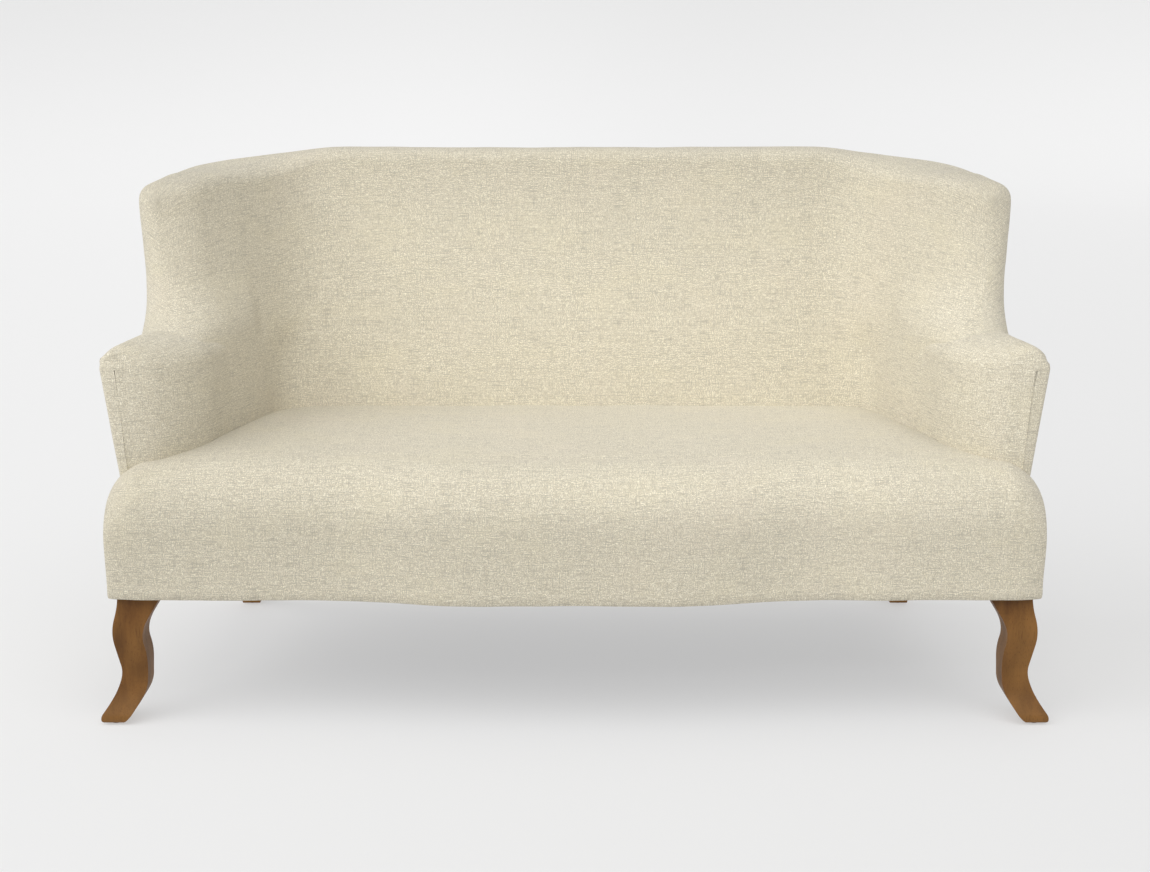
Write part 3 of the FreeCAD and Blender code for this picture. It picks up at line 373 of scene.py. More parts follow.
def linenMaterial(name):
    look = linenLook
    material, tree, shader = startMaterial(name, look["roughness"], look["specular"])
    shader.inputs["Sheen Weight"].default_value = look["sheen"]
    shader.inputs["Sheen Roughness"].default_value = look["sheenRoughness"]
    uv = tree.nodes.new("ShaderNodeUVMap")
    uv.uv_map = "cloth"
    cloth = uv.outputs[0]
    parts = separated(tree, cloth)
    pace = math.pi / look["thread"]
    warpWave = calc(tree, "SINE", calc(tree, "MULTIPLY", parts[0], pace))
    weftWave = calc(tree, "SINE", calc(tree, "MULTIPLY", parts[1], pace))
    over = spread(tree, calc(tree, "MULTIPLY", warpWave, weftWave), -look["over"], look["over"])
    warpHeight = calc(tree, "ABSOLUTE", warpWave)
    weftHeight = calc(tree, "ABSOLUTE", weftWave)
    weave = calc(tree, "ADD", calc(tree, "MULTIPLY", warpHeight, over),
                 calc(tree, "MULTIPLY", weftHeight, calc(tree, "SUBTRACT", 1.0, over)))
    colour = look["pale"]
    marks = {}
    for mark, (stretch, scale, detail, rough, shift, starts, full, share, shade) in look["marks"].items():
        marks[mark] = spread(tree, grainAt(tree, cloth, stretch, scale, detail, rough, shift), starts, full)
        colour = tint(tree, calc(tree, "MULTIPLY", marks[mark], share), colour, look[shade])
    # painted shade: the hollows between the threads are painted greyer, as where shade falls among them
    paintedHollowShade = calc(tree, "MULTIPLY", calc(tree, "SUBTRACT", 1.0, weave), look["paintedHollowShade"])
    colour = tint(tree, paintedHollowShade, colour, look["grey"])
    tree.links.new(colour, shader.inputs["Base Color"])
    height = calc(tree, "MULTIPLY", weave, 0.5)
    for mark in ("warpStreak", "weftStreak"):
        half = calc(tree, "MULTIPLY", marks[mark], 0.5)
        height = calc(tree, "ADD", height, half)
    raiseGrain(tree, shader, height, look["bump"], look["bumpStrength"])
    return material


# each wood by slot: name, dark, middle and light tones, roughness, coat, and how much lighter its foot is
# painted, a painted highlight where light falls on the foot
woodLooks = {
    "leg_wood": ("legWood", (0.078, 0.030, 0.007, 1), (0.170, 0.072, 0.017, 1), (0.265, 0.128, 0.034, 1),
                 0.52, 0.04, 0.6),
    "frame_wood": ("frameWood", (0.42, 0.29, 0.17, 1), (0.58, 0.44, 0.28, 1), (0.66, 0.52, 0.36, 1),
                   0.7, 0.0, 0.0),
}
# what both woods share: each noise's stretch, scale, detail, roughness and shift, and how it is spread
woodGrain = {
    "rings": ((38, 38, 3.2), 1.0, 4.0, 0.6, (0, 0, 0)),
    "ringTone": (0.34, 0.66),
    "pores": ((900, 900, 26), 1.0, 2.0, 0.6, (3, 1, 2)),
    "poreTone": (0.56, 0.70, 0.0, 0.55),
    "poreDepth": 0.6,
    "cloud": ((9, 9, 4), 1.0, 2.0, 0.5, (1, 7, 4)),
    "cloudTone": (0.40, 0.70, 0.0, 0.75),
    "footHeights": (0.015, 0.080),
    "footWaver": 0.03,
    "specular": 0.2,
    "coatRoughness": 0.22,
    "bump": 0.0004,
    "bumpStrength": 0.5,
}


def woodMaterial(name, dark, middle, light, roughness, coat, paintedFootLight):
    grain = woodGrain
    material, tree, shader = startMaterial(name, roughness, grain["specular"])
    shader.inputs["Coat Weight"].default_value = coat
    shader.inputs["Coat Roughness"].default_value = grain["coatRoughness"]
    place = objectPlace(tree)
    rings, pores, cloud = (grainAt(tree, place, *grain[layer]) for layer in ("rings", "pores", "cloud"))
    colour = tint(tree, spread(tree, rings, *grain["ringTone"]), dark, middle)
    colour = tint(tree, spread(tree, cloud, *grain["cloudTone"]), colour, light)
    # painted light: the foot is painted lighter between these heights, as where light falls on its upper face
    if paintedFootLight:
        waver = calc(tree, "MULTIPLY", cloud, grain["footWaver"])
        height = calc(tree, "ADD", separated(tree, place)[2], waver)
        colour = tint(tree, spread(tree, height, *grain["footHeights"], paintedFootLight, 0.0), colour, light)
    poreMask = spread(tree, pores, *grain["poreTone"])
    colour = tint(tree, poreMask, colour, dark)
    tree.links.new(colour, shader.inputs["Base Color"])
    relief = calc(tree, "SUBTRACT", rings, calc(tree, "MULTIPLY", poreMask, grain["poreDepth"]))
    raiseGrain(tree, shader, relief, grain["bump"], grain["bumpStrength"])
    return material


# plain finishes by slot: name, two mottled tones, roughness, metal, pace and height of the mottling
plainLooks = {
    "webbing": ("juteWebbing", (0.42, 0.31, 0.17, 1), (0.27, 0.19, 0.10, 1), 0.9, 0.0, 600, 0.0006),
    "spring_steel": ("springSteel", (0.36, 0.37, 0.38, 1), (0.25, 0.25, 0.26, 1), 0.35, 1.0, 90, 0.0003),
    "bolt_steel": ("zincSteel", (0.60, 0.60, 0.58, 1), (0.46, 0.46, 0.44, 1), 0.3, 1.0, 200, 0.0003),
    "hessian": ("hessianCloth", (0.45, 0.34, 0.19, 1), (0.28, 0.20, 0.10, 1), 0.95, 0.0, 700, 0.0008),
    "dust_cloth": ("dustCloth", (0.020, 0.020, 0.022, 1), (0.035, 0.035, 0.038, 1), 0.95, 0.0, 500, 0.0003),
    "glide_plastic": ("glidePlastic", (0.030, 0.028, 0.026, 1), (0.05, 0.048, 0.045, 1), 0.45, 0.0, 120,
                      0.0003),
}


def plainMaterial(name, colour, darker, roughness, metallic, scale, bump):
    material, tree, shader = startMaterial(name, roughness)
    shader.inputs["Metallic"].default_value = metallic
    mottled = grainAt(tree, objectPlace(tree), (1, 1, 1), scale, 3.0, 0.6)
    tree.links.new(tint(tree, spread(tree, mottled, 0.35, 0.7), colour, darker), shader.inputs["Base Color"])
    raiseGrain(tree, shader, mottled, bump, 0.4)
    return material


slotLooks = {slotName: woodMaterial(*look) for slotName, look in woodLooks.items()}
for slotName, look in plainLooks.items():
    slotLooks[slotName] = plainMaterial(*look)
for subpart in frame["record"]["subparts"]:
    if subpart["material_slot"] in slotLooks:
        dressed = nodes[subpart["node"]].data
        dressed.materials.clear()
        dressed.materials.append(slotLooks[subpart["material_slot"]])
slotLooks["upholstery_fabric"] = linenMaterial("naturalLinen")
print("materials", len(slotLooks))


def finishCloth(piece, replaced, slotName):
    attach(piece, "root")
    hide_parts(*replaced)
    piece.data.materials.append(slotLooks[slotName])


def padPiece(name, skin, lining, replaced, evenRows=None, facing=None):
    piece = shellMesh(name, skin, lining, evenRows, facing)
    finishCloth(piece, replaced, "upholstery_fabric")
    print(name, len(piece.data.polygons))


# the arms
armShape = {
    "front": 0.080,
    "top": 0.6525,
    "shoulder": 0.048,
    "innerFront": 0.637,
    "lean": 0.008,
    "outerLow": 0.763,
    "outerHigh": 0.814,
    "noseLong": 0.149,
    "noseWide": 0.108,
    "nosePower": 1.6,
    "edgeLong": 0.016,
    "edgeWide": 0.012,
    "dome": 0.003,
    "innerRound": 0.100,     # width of the rounding at the top, on the inner and the outer side
    "outerRound": 0.066,
    "leastRound": 0.004,
    "leastShoulder": 0.006,
    "sideGap": 0.001,        # the arm's end lies this far off the back's side
    "mostPadding": 0.45,     # share of the whole thickness, and the least that is left within the lining
    "leastPadding": 0.02,
    "leastStep": 0.001,
    "sliver": 0.0004,        # the facing's two sides meet this close in its middle
    "lap": 0.045,
    "facingLow": 0.050,      # the facing runs down this far below the springs' top
    "tailIn": 0.020,         # the arm runs on this far inside the back
    "padding": 0.020,
    "backing": 0.010,        # the lining keeps this far from the outside, and these from the front and top
    "frontBacking": 0.012,
    "topBacking": 0.018,
    "rows": {"inner": 30, "crest": 26, "lap": 8},
    "steps": {"straight": 12, "nose": 22, "edge": 12, "facing": 12},
    "facingColumns": 19,     # the facing with the flatter part of its rounded edge
}


def armInner(depth, z):
    shape = armShape
    straight = shape["front"] + shape["noseLong"]
    shoulderLow = shape["top"] - shape["shoulder"] - settee["coverEdge"]
    lean = shape["lean"] * (z - settee["coverEdge"]) / shoulderLow
    if depth > straight:
        behind = (depth - straight) / (settee["pivotDepth"] - straight)
        ends = sideAt("innerSide", z) + shape["sideGap"]
        return mix(behind, shape["innerFront"] + lean, ends)
    drawn = min(1.0, (straight - depth) / shape["noseLong"])
    nose = shape["noseWide"] * (1 - (1 - drawn ** shape["nosePower"]) ** (1 / shape["nosePower"]))
    return shape["innerFront"] + lean + nose


def armOuter(depth, z):
    along = (depth - armShape["front"]) / (settee["pivotDepth"] - armShape["front"])
    shoulderHeight = armShape["top"] - armShape["shoulder"]
    headBack = sideAt("outerSide", shoulderHeight)
    low = mix(along, armShape["outerLow"], backShape["outerSide"][0])
    head = mix(along, armShape["outerHigh"], headBack)
    return mix((z - settee["coverEdge"]) / (shoulderHeight - settee["coverEdge"]), low, head)


def roundDrop(away, wide, deep):
    # how far a rounded edge has fallen at a distance in from the side
    return deep * (1 - ellipse(1 - away / wide)) if away < wide else 0.0


def armCrest(across, thick, shoulder, inset):
    least = armShape["leastRound"]
    inner = roundDrop(across * thick, max(armShape["innerRound"] - inset, least), shoulder)
    outer = roundDrop((1 - across) * thick, max(armShape["outerRound"] - inset, least), shoulder)
    return min(shoulder, (inner**3 + outer**3) ** (1 / 3))


def armSection(depth, inset, push, inFacing):
    # the outside and the inside points of one section, drawn in by the inset and pushed forward
    shape = armShape
    counts = shape["rows"]
    top = shape["top"] - inset
    shoulder = max(shape["shoulder"] - inset, shape["leastShoulder"])
    high = top - shoulder
    thick = max(armOuter(depth, high) - armInner(depth, high) - 2 * inset, shape["sliver"])
    lapLow = settee["deckTop"] - shape["facingLow"] if inFacing else high - shape["lap"]
    rows = [(z, 0.0) for z in evenSteps(settee["deckTop"], high, counts["inner"])[:-1]]
    for turn in evenSteps(0.0, math.pi, counts["crest"]):
        across = (1 - math.cos(turn)) / 2
        rows.append((top - armCrest(across, thick, shoulder, inset), across))
    rows += [(z, 1.0) for z in evenSteps(high, lapLow, counts["lap"])[1:]]
    skin, lining = [], []
    for z, across in rows:
        near = armInner(depth, min(z, high)) + inset
        far = armOuter(depth, min(z, high)) - inset
        if far < near + shape["sliver"]:
            near = (near + far - shape["sliver"]) / 2
            far = near + shape["sliver"]
        thick = far - near
        deep = near + min(shape["padding"], thick * shape["mostPadding"])
        shallow = max(far - shape["backing"], deep + thick * shape["leastPadding"])
        skin.append(Vector((mix(across, near, far), yOf(depth - push), z)))
        lining.append(Vector((mix(across, deep, shallow), yOf(depth + shape["frontBacking"]),
                              min(z, top - shape["topBacking"]))))
    return skin, lining


def armStations():
    # from the arm's end forward round the nose, then over the front facing to its middle
    shape = armShape
    steps = shape["steps"]
    straight = shape["front"] + shape["noseLong"]
    edgeAt = shape["front"] + shape["edgeLong"]
    depths = evenSteps(settee["pivotDepth"] + shape["tailIn"], straight, steps["straight"])[:-1]
    for turn in quarterTurn(steps["nose"])[:-1]:
        depth = straight - shape["noseLong"] * math.sin(turn) ** (2 / shape["nosePower"])
        if depth > edgeAt + shape["leastStep"]:
            depths.append(depth)
    stations = [(depth, 0.0, 0.0, False) for depth in depths]
    for turn in quarterTurn(steps["edge"]):
        inset = shape["edgeWide"] * (1 - ellipse(math.sin(turn)))
        stations.append((edgeAt - shape["edgeLong"] * math.sin(turn), inset, 0.0, True))
    half = (shape["outerHigh"] - shape["innerFront"] - shape["lean"] - shape["noseWide"]) / 2
    for share in evenSteps(0.0, 1.0, steps["facing"])[1:]:
        inset = mix(share, shape["edgeWide"], half - shape["sliver"] / 2)
        stations.append((shape["front"], inset, shape["dome"] * math.sin(math.pi / 2 * share), True))
    return stations


# inside back and wings, one padded piece: values at the back, and at the side where the arm ends
backShape = {
    "innerBack": (0.480, 0.556, 0.600),     # depths at the cover's edge, at the knee and high up
    "innerSide": (0.590, 0.606, 0.651),     # halves at the arm's end, at the same heights
    "outerBack": (0.640, 0.677, 0.700),
    "outerSide": (0.737, 0.772, 0.776),
    "outerPower": (5.5, 4.0, 4.0),
    "flare": (0.175, 0.470, 0.590),         # how the side opens towards the front
    "bend": 0.80,            # how far the inner corner runs straight before and after its bend
    "knee": 0.640,
    "crestBack": 0.950,
    "crestSide": 0.915,
    "crestPower": 1.5,
    "shoulder": 0.034,
    "squareness": 0.74,      # below 1 the top edge is fuller than a round
    "crown": 0.008,
    "pad": 0.045,
    "padShare": 0.62,        # but never more of the whole thickness than this
    "topPad": 0.027,
    "backing": 0.010,
    "leastBacking": 0.04,    # the lining's least share of the whole thickness
    "lap": 0.045,            # how far the cover runs down behind the outside panels, how deep, and how soon
    "lapDepth": 0.004,
    "lapTurn": 0.012,
    "rows": {"low": 22, "high": 40, "crest": 20, "lap": 16},
    "steps": {"flat": 40, "corner": 30, "wing": 10, "nose": 14},
}
wingShape = {
    "innerKnee": 0.690,
    "innerHigh": 0.711,
    "outerKnee": 0.789,
    "outerHigh": 0.799,
    "crest": 0.897,
    # height and depth of the front edge, which sweeps forward into the arm
    "front": ((0.630, 0.160), (0.650, 0.205), (0.670, 0.248), (0.695, 0.281), (0.730, 0.305),
              (0.780, 0.322), (0.840, 0.335), (0.930, 0.346)),
    "sweep": ((0.630, -0.010), (0.655, -0.009), (0.690, -0.006), (0.740, -0.002), (0.790, 0.004),
              (0.850, 0.009), (0.930, 0.007)),
    "nose": 0.052,
    "noseBeyond": 0.040,     # the front edge reaches this far past the top's end
    "noseDrop": 0.030,
    "noseShut": 0.996,
    "onArm": 0.620,          # below this the wing's foot lies inside the arm
    "lapAbove": 0.012,       # the cover's lap ends this much higher
    "swellShare": 1.3,       # the swell of the pad has gone at one part in this of the wing
    "blendLow": 0.600,       # the wing's inner face grows out of the arm's between these heights
    "blendHigh": 0.735,
    "tuckFrom": 0.315,       # its foot lies on the arm ahead of this depth, and sinks in behind it
    "tuckLong": 0.070,
    "tuck": (-0.0006, 0.007),
}


def backAt(key, z, crest):
    # a parabola through a row of values at the cover's edge, the knee and the shoulder
    za, zb, zc = settee["coverEdge"], backShape["knee"], crest - backShape["shoulder"]
    a, b, c = backShape[key]
    first = a * (z - zb) * (z - zc) / ((za - zb) * (za - zc))
    second = b * (z - za) * (z - zc) / ((zb - za) * (zb - zc))
    return first + second + c * (z - za) * (z - zb) / ((zc - za) * (zc - zb))


def sideAt(key, z):
    return backAt(key, z, backShape["crestSide"])


def flatAt(key, x, z):
    return Vector((x, backAt(key, z, backShape["crestBack"])))


def crestAt(turn):
    # turn runs from 0 at the arm's end to 1 at the flat of the back
    fallen = math.cos(math.pi / 2 * turn) ** backShape["crestPower"]
    return backShape["crestBack"] - (backShape["crestBack"] - backShape["crestSide"]) * fallen


def cornerInner(turn, z):
    # a smooth turn from the side into the back, seen from above
    crest = crestAt(turn)
    back = backAt("innerBack", z, crest)
    side = backAt("innerSide", z, crest)
    rise = (z - backShape["knee"]) / (backShape["crestSide"] - backShape["knee"])
    low, knee, high = backShape["flare"]
    flare = mix(rise, knee, high) if rise > 0 else mix(smoothStep(1 + rise * 3), low, knee)
    reach = back - settee["pivotDepth"]
    corner = side - flare * reach
    bend = backShape["bend"]
    start = Vector((side, settee["pivotDepth"]))
    first = Vector((side - flare * reach * bend, settee["pivotDepth"] + reach * bend))
    second = Vector((mix(bend, settee["flatEnd"], corner), back))
    end = Vector((settee["flatEnd"], back))
    t = turn
    return start * (1 - t) ** 3 + first * 3 * t * (1 - t) ** 2 + second * 3 * t * t * (1 - t) + end * t**3


def cornerOuter(turn, z):
    crest = crestAt(turn)
    side = backAt("outerSide", z, crest) - settee["pivotHalf"]
    back = backAt("outerBack", z, crest) - settee["pivotDepth"]
    power = backAt("outerPower", z, crest)
    angle = math.pi / 2 * turn
    along, away = max(math.cos(angle), 1e-9), max(math.sin(angle), 1e-9)
    reach = ((along / side) ** power + (away / back) ** power) ** (-1 / power)
    return Vector((settee["pivotHalf"] + reach * along, settee["pivotDepth"] + reach * away))


def wingCrest(share):
    return mix(share, backShape["crestSide"], wingShape["crest"])


def wingRise(share, z):
    knee, high = backShape["knee"], wingCrest(share) - backShape["shoulder"]
    return max(0.0, (z - knee) / (high - knee))


def wingDepth(share, z):
    return mix(share, settee["pivotDepth"], alongCurve(wingShape["front"], z))


def wingInner(share, z):
    shape = wingShape
    depth = wingDepth(share, z)
    side = sideAt("innerSide", max(z, backShape["knee"]))
    across = mix(share, side, mix(wingRise(share, z), shape["innerKnee"], shape["innerHigh"]))
    tuck = mix(smoothStep((shape["tuckFrom"] - depth) / shape["tuckLong"]), *shape["tuck"])
    onArm = armInner(depth, min(z, armShape["top"] - armShape["shoulder"])) + tuck
    grown = smoothStep((z - shape["blendLow"]) / (shape["blendHigh"] - shape["blendLow"]))
    return Vector((mix(grown, onArm, across), depth))


def wingOuter(share, z):
    side = sideAt("outerSide", max(z, backShape["knee"]))
    across = mix(share, side, mix(wingRise(share, z), wingShape["outerKnee"], wingShape["outerHigh"]))
    return Vector((across + share**2 * alongCurve(wingShape["sweep"], z), wingDepth(share, z)))


def bandSection(inner, outer, crest, lapLow, nose=0.0, swell=1.0):
    # the outside and the inside points of one section; inner and outer give places by height
    shape = backShape
    counts = shape["rows"]
    shoulder, split = shape["shoulder"], wingShape["onArm"]
    high = crest - shoulder
    rows = [(z, 0.0) for z in evenSteps(settee["deckTop"], split, counts["low"])[:-1]]
    rows += [(z, 0.0) for z in evenSteps(split, high, counts["high"])[:-1]]
    squareness = shape["squareness"]
    for turn in evenSteps(0.0, math.pi, counts["crest"]):
        across = 0.5 - 0.5 * math.copysign(abs(math.cos(turn)) ** squareness, math.cos(turn))
        rows.append((high + shoulder * abs(math.sin(turn)) ** squareness, across))
    rows += [(z, 1.0) for z in evenSteps(high, lapLow, counts["lap"])[1:]]
    skin, lining = [], []
    for z, across in rows:
        near, far = inner(min(z, high)), outer(min(z, high))
        rise = min(1.0, max(0.0, (min(z, high) - settee["deckTop"]) / (high - settee["deckTop"])))
        near = near - (far - near).normalized() * shape["crown"] * swell * math.sin(math.pi * rise) ** 2
        middle = (near + far) / 2
        near, far = near.lerp(middle, nose), far.lerp(middle, nose)
        thick = max((far - near).length, 1e-6)
        padShare = min(shape["pad"] / thick, shape["padShare"])
        deep = near.lerp(far, padShare)
        shallow = near.lerp(far, max(1 - shape["backing"] / thick, padShare + shape["leastBacking"]))
        under = shape["lapDepth"] * smoothStep((high - z) / shape["lapTurn"]) * swell
        spot = near.lerp(far, across * (1 - under / thick))
        hidden = deep.lerp(shallow, across)
        skin.append(Vector((spot.x, yOf(spot.y), z)))
        lining.append(Vector((hidden.x, yOf(hidden.y), min(z, crest - shape["topPad"]))))
    return skin, lining


def wingShares():
    # shares of the way to the front edge, with how far the nose has closed at each
    steps = backShape["steps"]
    reach = settee["pivotDepth"] - wingShape["front"][-1][1]
    noseStart = 1 - wingShape["nose"] / (reach + wingShape["noseBeyond"])
    shares = [(share, 0.0) for share in evenSteps(0.0, noseStart, steps["wing"])[1:]]
    for turn in quarterTurn(steps["nose"])[1:]:
        shares.append((mix(math.sin(turn), noseStart, 1.0), 1 - ellipse(math.sin(turn))))
    return shares


def insideBackHalf():
    # stations from the middle of the back to the front edge of the right wing
    steps = backShape["steps"]
    lapDown = backShape["shoulder"] + backShape["lap"]
    sections = []
    for x in evenSteps(0.0, settee["flatEnd"], steps["flat"])[:-1]:
        crest = backShape["crestBack"]
        sections.append(bandSection(lambda z: flatAt("innerBack", x, z), lambda z: flatAt("outerBack", x, z),
                                    crest, crest - lapDown))
    for turn in evenSteps(1.0, 0.0, steps["corner"]):
        crest = crestAt(turn)
        sections.append(bandSection(lambda z: cornerInner(turn, z), lambda z: cornerOuter(turn, z), crest,
                                    crest - lapDown))
    for share, nose in wingShares():
        crest = wingCrest(share) - wingShape["noseDrop"] * nose
        sections.append(bandSection(lambda z: wingInner(share, z), lambda z: wingOuter(share, z), crest,
                                    wingShape["onArm"] + wingShape["lapAbove"], nose * wingShape["noseShut"],
                                    1 - smoothStep(share * wingShape["swellShare"])))
    return sections


bandSkin, bandLining = zip(*insideBackHalf())
bandRows = backShape["rows"]
bandNodes = ["back_cover", "back_foam"]
bandNodes += [f"wing_{part}_{side}" for part in ("cover", "foam") for side in ("left", "right")]
padPiece("inside_back_and_wings", softened(wholeGrid(bandSkin), 1.0, 6), wholeGrid(bandLining),
         bandNodes, bandRows["low"] + bandRows["high"] + bandRows["crest"])

# both arms, whose ends lie against the back's sides
armSkin, armLining = zip(*[armSection(*station) for station in armStations()])
for side, turned in pairs:
    padPiece(f"inside_arm_{side}", softened(turned(armSkin), 0.8, 5), turned(armLining),
             [f"arm_cover_{side}", f"arm_foam_{side}"],
             armShape["rows"]["inner"] + armShape["rows"]["crest"], len(armSkin) - armShape["facingColumns"])

# the tight seat, with its serpentine front roll and an ear in front of each arm
seatShape = {
    "half": 0.8025,
    "top": 0.455,
    "crown": 0.010,
    "crownHalf": 0.740,
    "roll": 0.098,
    "rollSoft": 0.92,        # below 1 the roll is fuller than a round
    "earDepth": 0.100,
    "earRound": 0.062,
    "earHigh": 0.055,
    "earPower": 1.5,         # under 2 the ear's corner is drawn in like a soft chamfer
    "earFall": (0.010, 0.560, 0.200),       # the seat falls this much towards its ears, from where, how wide
    "earFrom": (0.745, 0.020),              # the ear's own back face grows from here, how wide
    "earBack": 0.012,
    "earLean": (0.003, 0.370, 0.130),       # its side leans in this much below a height, how softly,
    "leanFrom": (0.720, 0.060),             # and only from here, how wide
    "earNose": 0.014,
    "earDome": 0.002,
    "earShut": 8.1,          # its end is drawn together in eight columns, but not quite
    "bowOut": 0.035,
    "bowFlat": 0.150,
    "bowRun": 0.300,
    "underBack": 0.040,      # the seat runs on this far under the back, and this far under the arm's end
    "underArm": 0.030,
    "besideEnd": (0.070, 0.005),            # where that changes, before and behind the arm's end
    # the rear edge beside the arm: out from the arm's inner face, back from its nose or from the ear
    "besideNose": ((0.020, 0.050), (0.060, -0.030)),
    "besideEar": ((0.090, 0.020), (0.105, 0.0)),
    "rollShares": (0.92, 0.85),             # the front's roll takes no more of the depth and the height
    "crownShares": (0.1, 1.0),              # of half a wave, at the roll and at the rear edge
    "frontPad": 0.0125,
    "rearPad": 0.006,
    "underPad": 0.001,
    "railReach": 0.002,
    "frontPull": 0.0035,     # how far the front's face is pulled in between its edges
    "hem": 0.003,
    "underLap": 0.010,
    "frontDrop": 0.0025,     # the front's lower edge hangs this much below the other covers
    "liningHalf": 0.785,
    "evenHalf": 0.700,       # columns are evenly spaced as far as this
    "rows": {"rear": 8, "top": 40, "roll": 22, "face": 16, "under": 3},
    "steps": {"even": 60, "outer": 4, "ear": 18, "end": 8},
}


def bowAt(half):
    # the serpentine front: flat in the middle, then an arc out and an arc back on each side
    out, run = seatShape["bowOut"], seatShape["bowRun"]
    radius = ((run / 2) ** 2 + (out / 2) ** 2) / out
    across = abs(half) - seatShape["bowFlat"]
    if across <= 0:
        return out
    if across <= run / 2:
        return out - radius + math.sqrt(radius**2 - across**2)
    if across < run:
        return radius - math.sqrt(radius**2 - (run - across) ** 2)
    return 0.0


def seatRearAt(x):
    # how far back the seat reaches: into the back, the arm or only to the ear's back face
    shape = seatShape
    armEnd = armInner(settee["pivotDepth"], shape["top"])
    straight = armShape["front"] + armShape["noseLong"]
    deepest = backAt("innerBack", shape["top"], backShape["crestBack"]) + shape["underBack"]
    inward, outward = shape["besideEnd"]
    knots = [(armEnd - inward, deepest), (armEnd + outward, settee["pivotDepth"] + shape["underArm"])]
    knots += [(armShape["innerFront"] + out, straight + back) for out, back in shape["besideNose"]]
    knots += [(armShape["innerFront"] + out, shape["earDepth"] + back) for out, back in shape["besideEar"]]
    return alongCurve(knots, x)


def seatSection(x, closing):
    # the outside and the inside points of one section, drawn together by its closing share
    shape = seatShape
    counts = shape["rows"]
    drawn = max(0.0, (x - shape["half"] + shape["earRound"]) / shape["earRound"])
    power = shape["earPower"]
    fall = shape["earHigh"] * (1 - max(0.0, 1 - drawn**power) ** (1 / power))
    deep, start, wide = shape["earFall"]
    fall += deep * smoothStep((x - start) / wide)
    top = shape["top"] - fall
    front = -bowAt(x) + shape["earNose"] * (1 - ellipse(drawn))
    rear = seatRearAt(x)
    inEar = smoothStep((x - shape["earFrom"][0]) / shape["earFrom"][1])
    rearFoot = mix(inEar, settee["deckTop"], settee["coverEdge"])
    rollDeep, rollHigh = shape["rollShares"]
    roll = min(shape["roll"], (rear - front) * rollDeep, (top - settee["coverEdge"]) * rollHigh)
    rise = shape["earBack"] * inEar
    points = [(rear, z) for z in evenSteps(rearFoot, top - rise, counts["rear"])[:-1]]
    for depth in evenSteps(rear, front + roll, counts["top"])[:-1]:
        share = (depth - front - roll) / max(rear - front - roll, 1e-6)
        across = ellipse(min(1.0, x / shape["crownHalf"]))
        crown = shape["crown"] * math.sin(math.pi * min(1.0, mix(share, *shape["crownShares"]))) * across
        edge = rise * smoothStep((depth - rear + shape["earBack"]) / shape["earBack"])
        points.append((depth, top + crown - edge))
    soft = shape["rollSoft"]
    for turn in quarterTurn(counts["roll"])[:-1]:
        depth = front + roll * (1 - math.sin(turn) ** soft)
        points.append((depth, top - roll * (1 - math.cos(turn) ** soft)))
    low = settee["coverEdge"] - shape["frontDrop"]
    hem = shape["hem"]
    for z in evenSteps(top - roll, low + hem, counts["face"])[:-1]:
        pull = shape["frontPull"] * math.sin(math.pi * (z - low) / max(top - roll - low, 0.01))
        points.append((front + pull * (1 - drawn), z))
    for turn in quarterTurn(counts["under"]):
        depth = front + hem + shape["underLap"] * (1 - math.cos(turn))
        points.append((depth, low + hem * (1 - math.sin(turn))))
    middle = ((front + rear) / 2, low)
    railFace = front + shape["frontPad"]
    skin, lining = [], []
    for depth, z in points:
        skin.append((mix(closing, depth, middle[0]), mix(closing, z, middle[1])))
        padDepth = min(max(depth, railFace), rear - shape["rearPad"])
        padZ = max(min(z, settee["deckTop"]), low + shape["underPad"])
        if depth < railFace + shape["railReach"] and z <= settee["deckTop"]:
            padDepth = railFace
        lining.append((mix(closing, padDepth, middle[0]), mix(closing, padZ, middle[1])))
    return skin, lining


def seatColumn(x, closing, out):
    shape = seatShape
    skin, lining = seatSection(x, closing)
    size, high, soft = shape["earLean"]
    size *= smoothStep((x - shape["leanFrom"][0]) / shape["leanFrom"][1])
    column = [Vector((x + out - size * smoothStep((high - z) / soft), yOf(depth), z)) for depth, z in skin]
    half = min(x, shape["liningHalf"]) + out
    return column, [Vector((half, yOf(depth), z)) for depth, z in lining]


def seatHalf():
    # columns from the middle to the right ear, then its end
    shape = seatShape
    steps = shape["steps"]
    earStart = shape["half"] - shape["earRound"]
    halves = evenSteps(0.0, shape["evenHalf"], steps["even"])[:-1]
    halves += evenSteps(shape["evenHalf"], earStart, steps["outer"])[:-1]
    halves += [earStart + shape["earRound"] * math.sin(turn) for turn in quarterTurn(steps["ear"])]
    columns = [seatColumn(x, 0.0, 0.0) for x in halves]
    for n in range(1, steps["end"] + 1):
        closing = n / shape["earShut"]
        columns.append(seatColumn(shape["half"], closing, shape["earDome"] * math.sin(math.pi / 2 * closing)))
    return columns


seatSkin, seatLining = zip(*seatHalf())
padPiece("seat", softened(wholeGrid(seatSkin), 1.0, 6), wholeGrid(seatLining),
         ["seat_cover", "seat_foam"], 0)

# outside panels: thin covers pulled over the frame, a seam's width proud of what they lap over
panelShape = {
    "thick": 0.0028,
    "proud": 0.0012,
    "topDrop": 0.042,
    "low": 0.001,            # above the covers' edge
    "armSetback": 0.018,
    "armTail": 0.010,
    "wingLow": (0.585, 0.618),
    "cornerStart": (0.995, 0.985),          # extra turns of the corner, close together for the rim
    "wingEven": 0.540,                      # the wing's steps are even up to this share of it
    "wingEnds": (0.575, 0.592, 0.600),      # and close together at its end
    "rim": 0.0022,
    "rimWide": 0.006,
    "rimFirst": 0.35,
    "rows": 26,
    "armRows": 18,
    "steps": {"back": 48, "corner": 30, "wing": 6, "arm": 20},
}


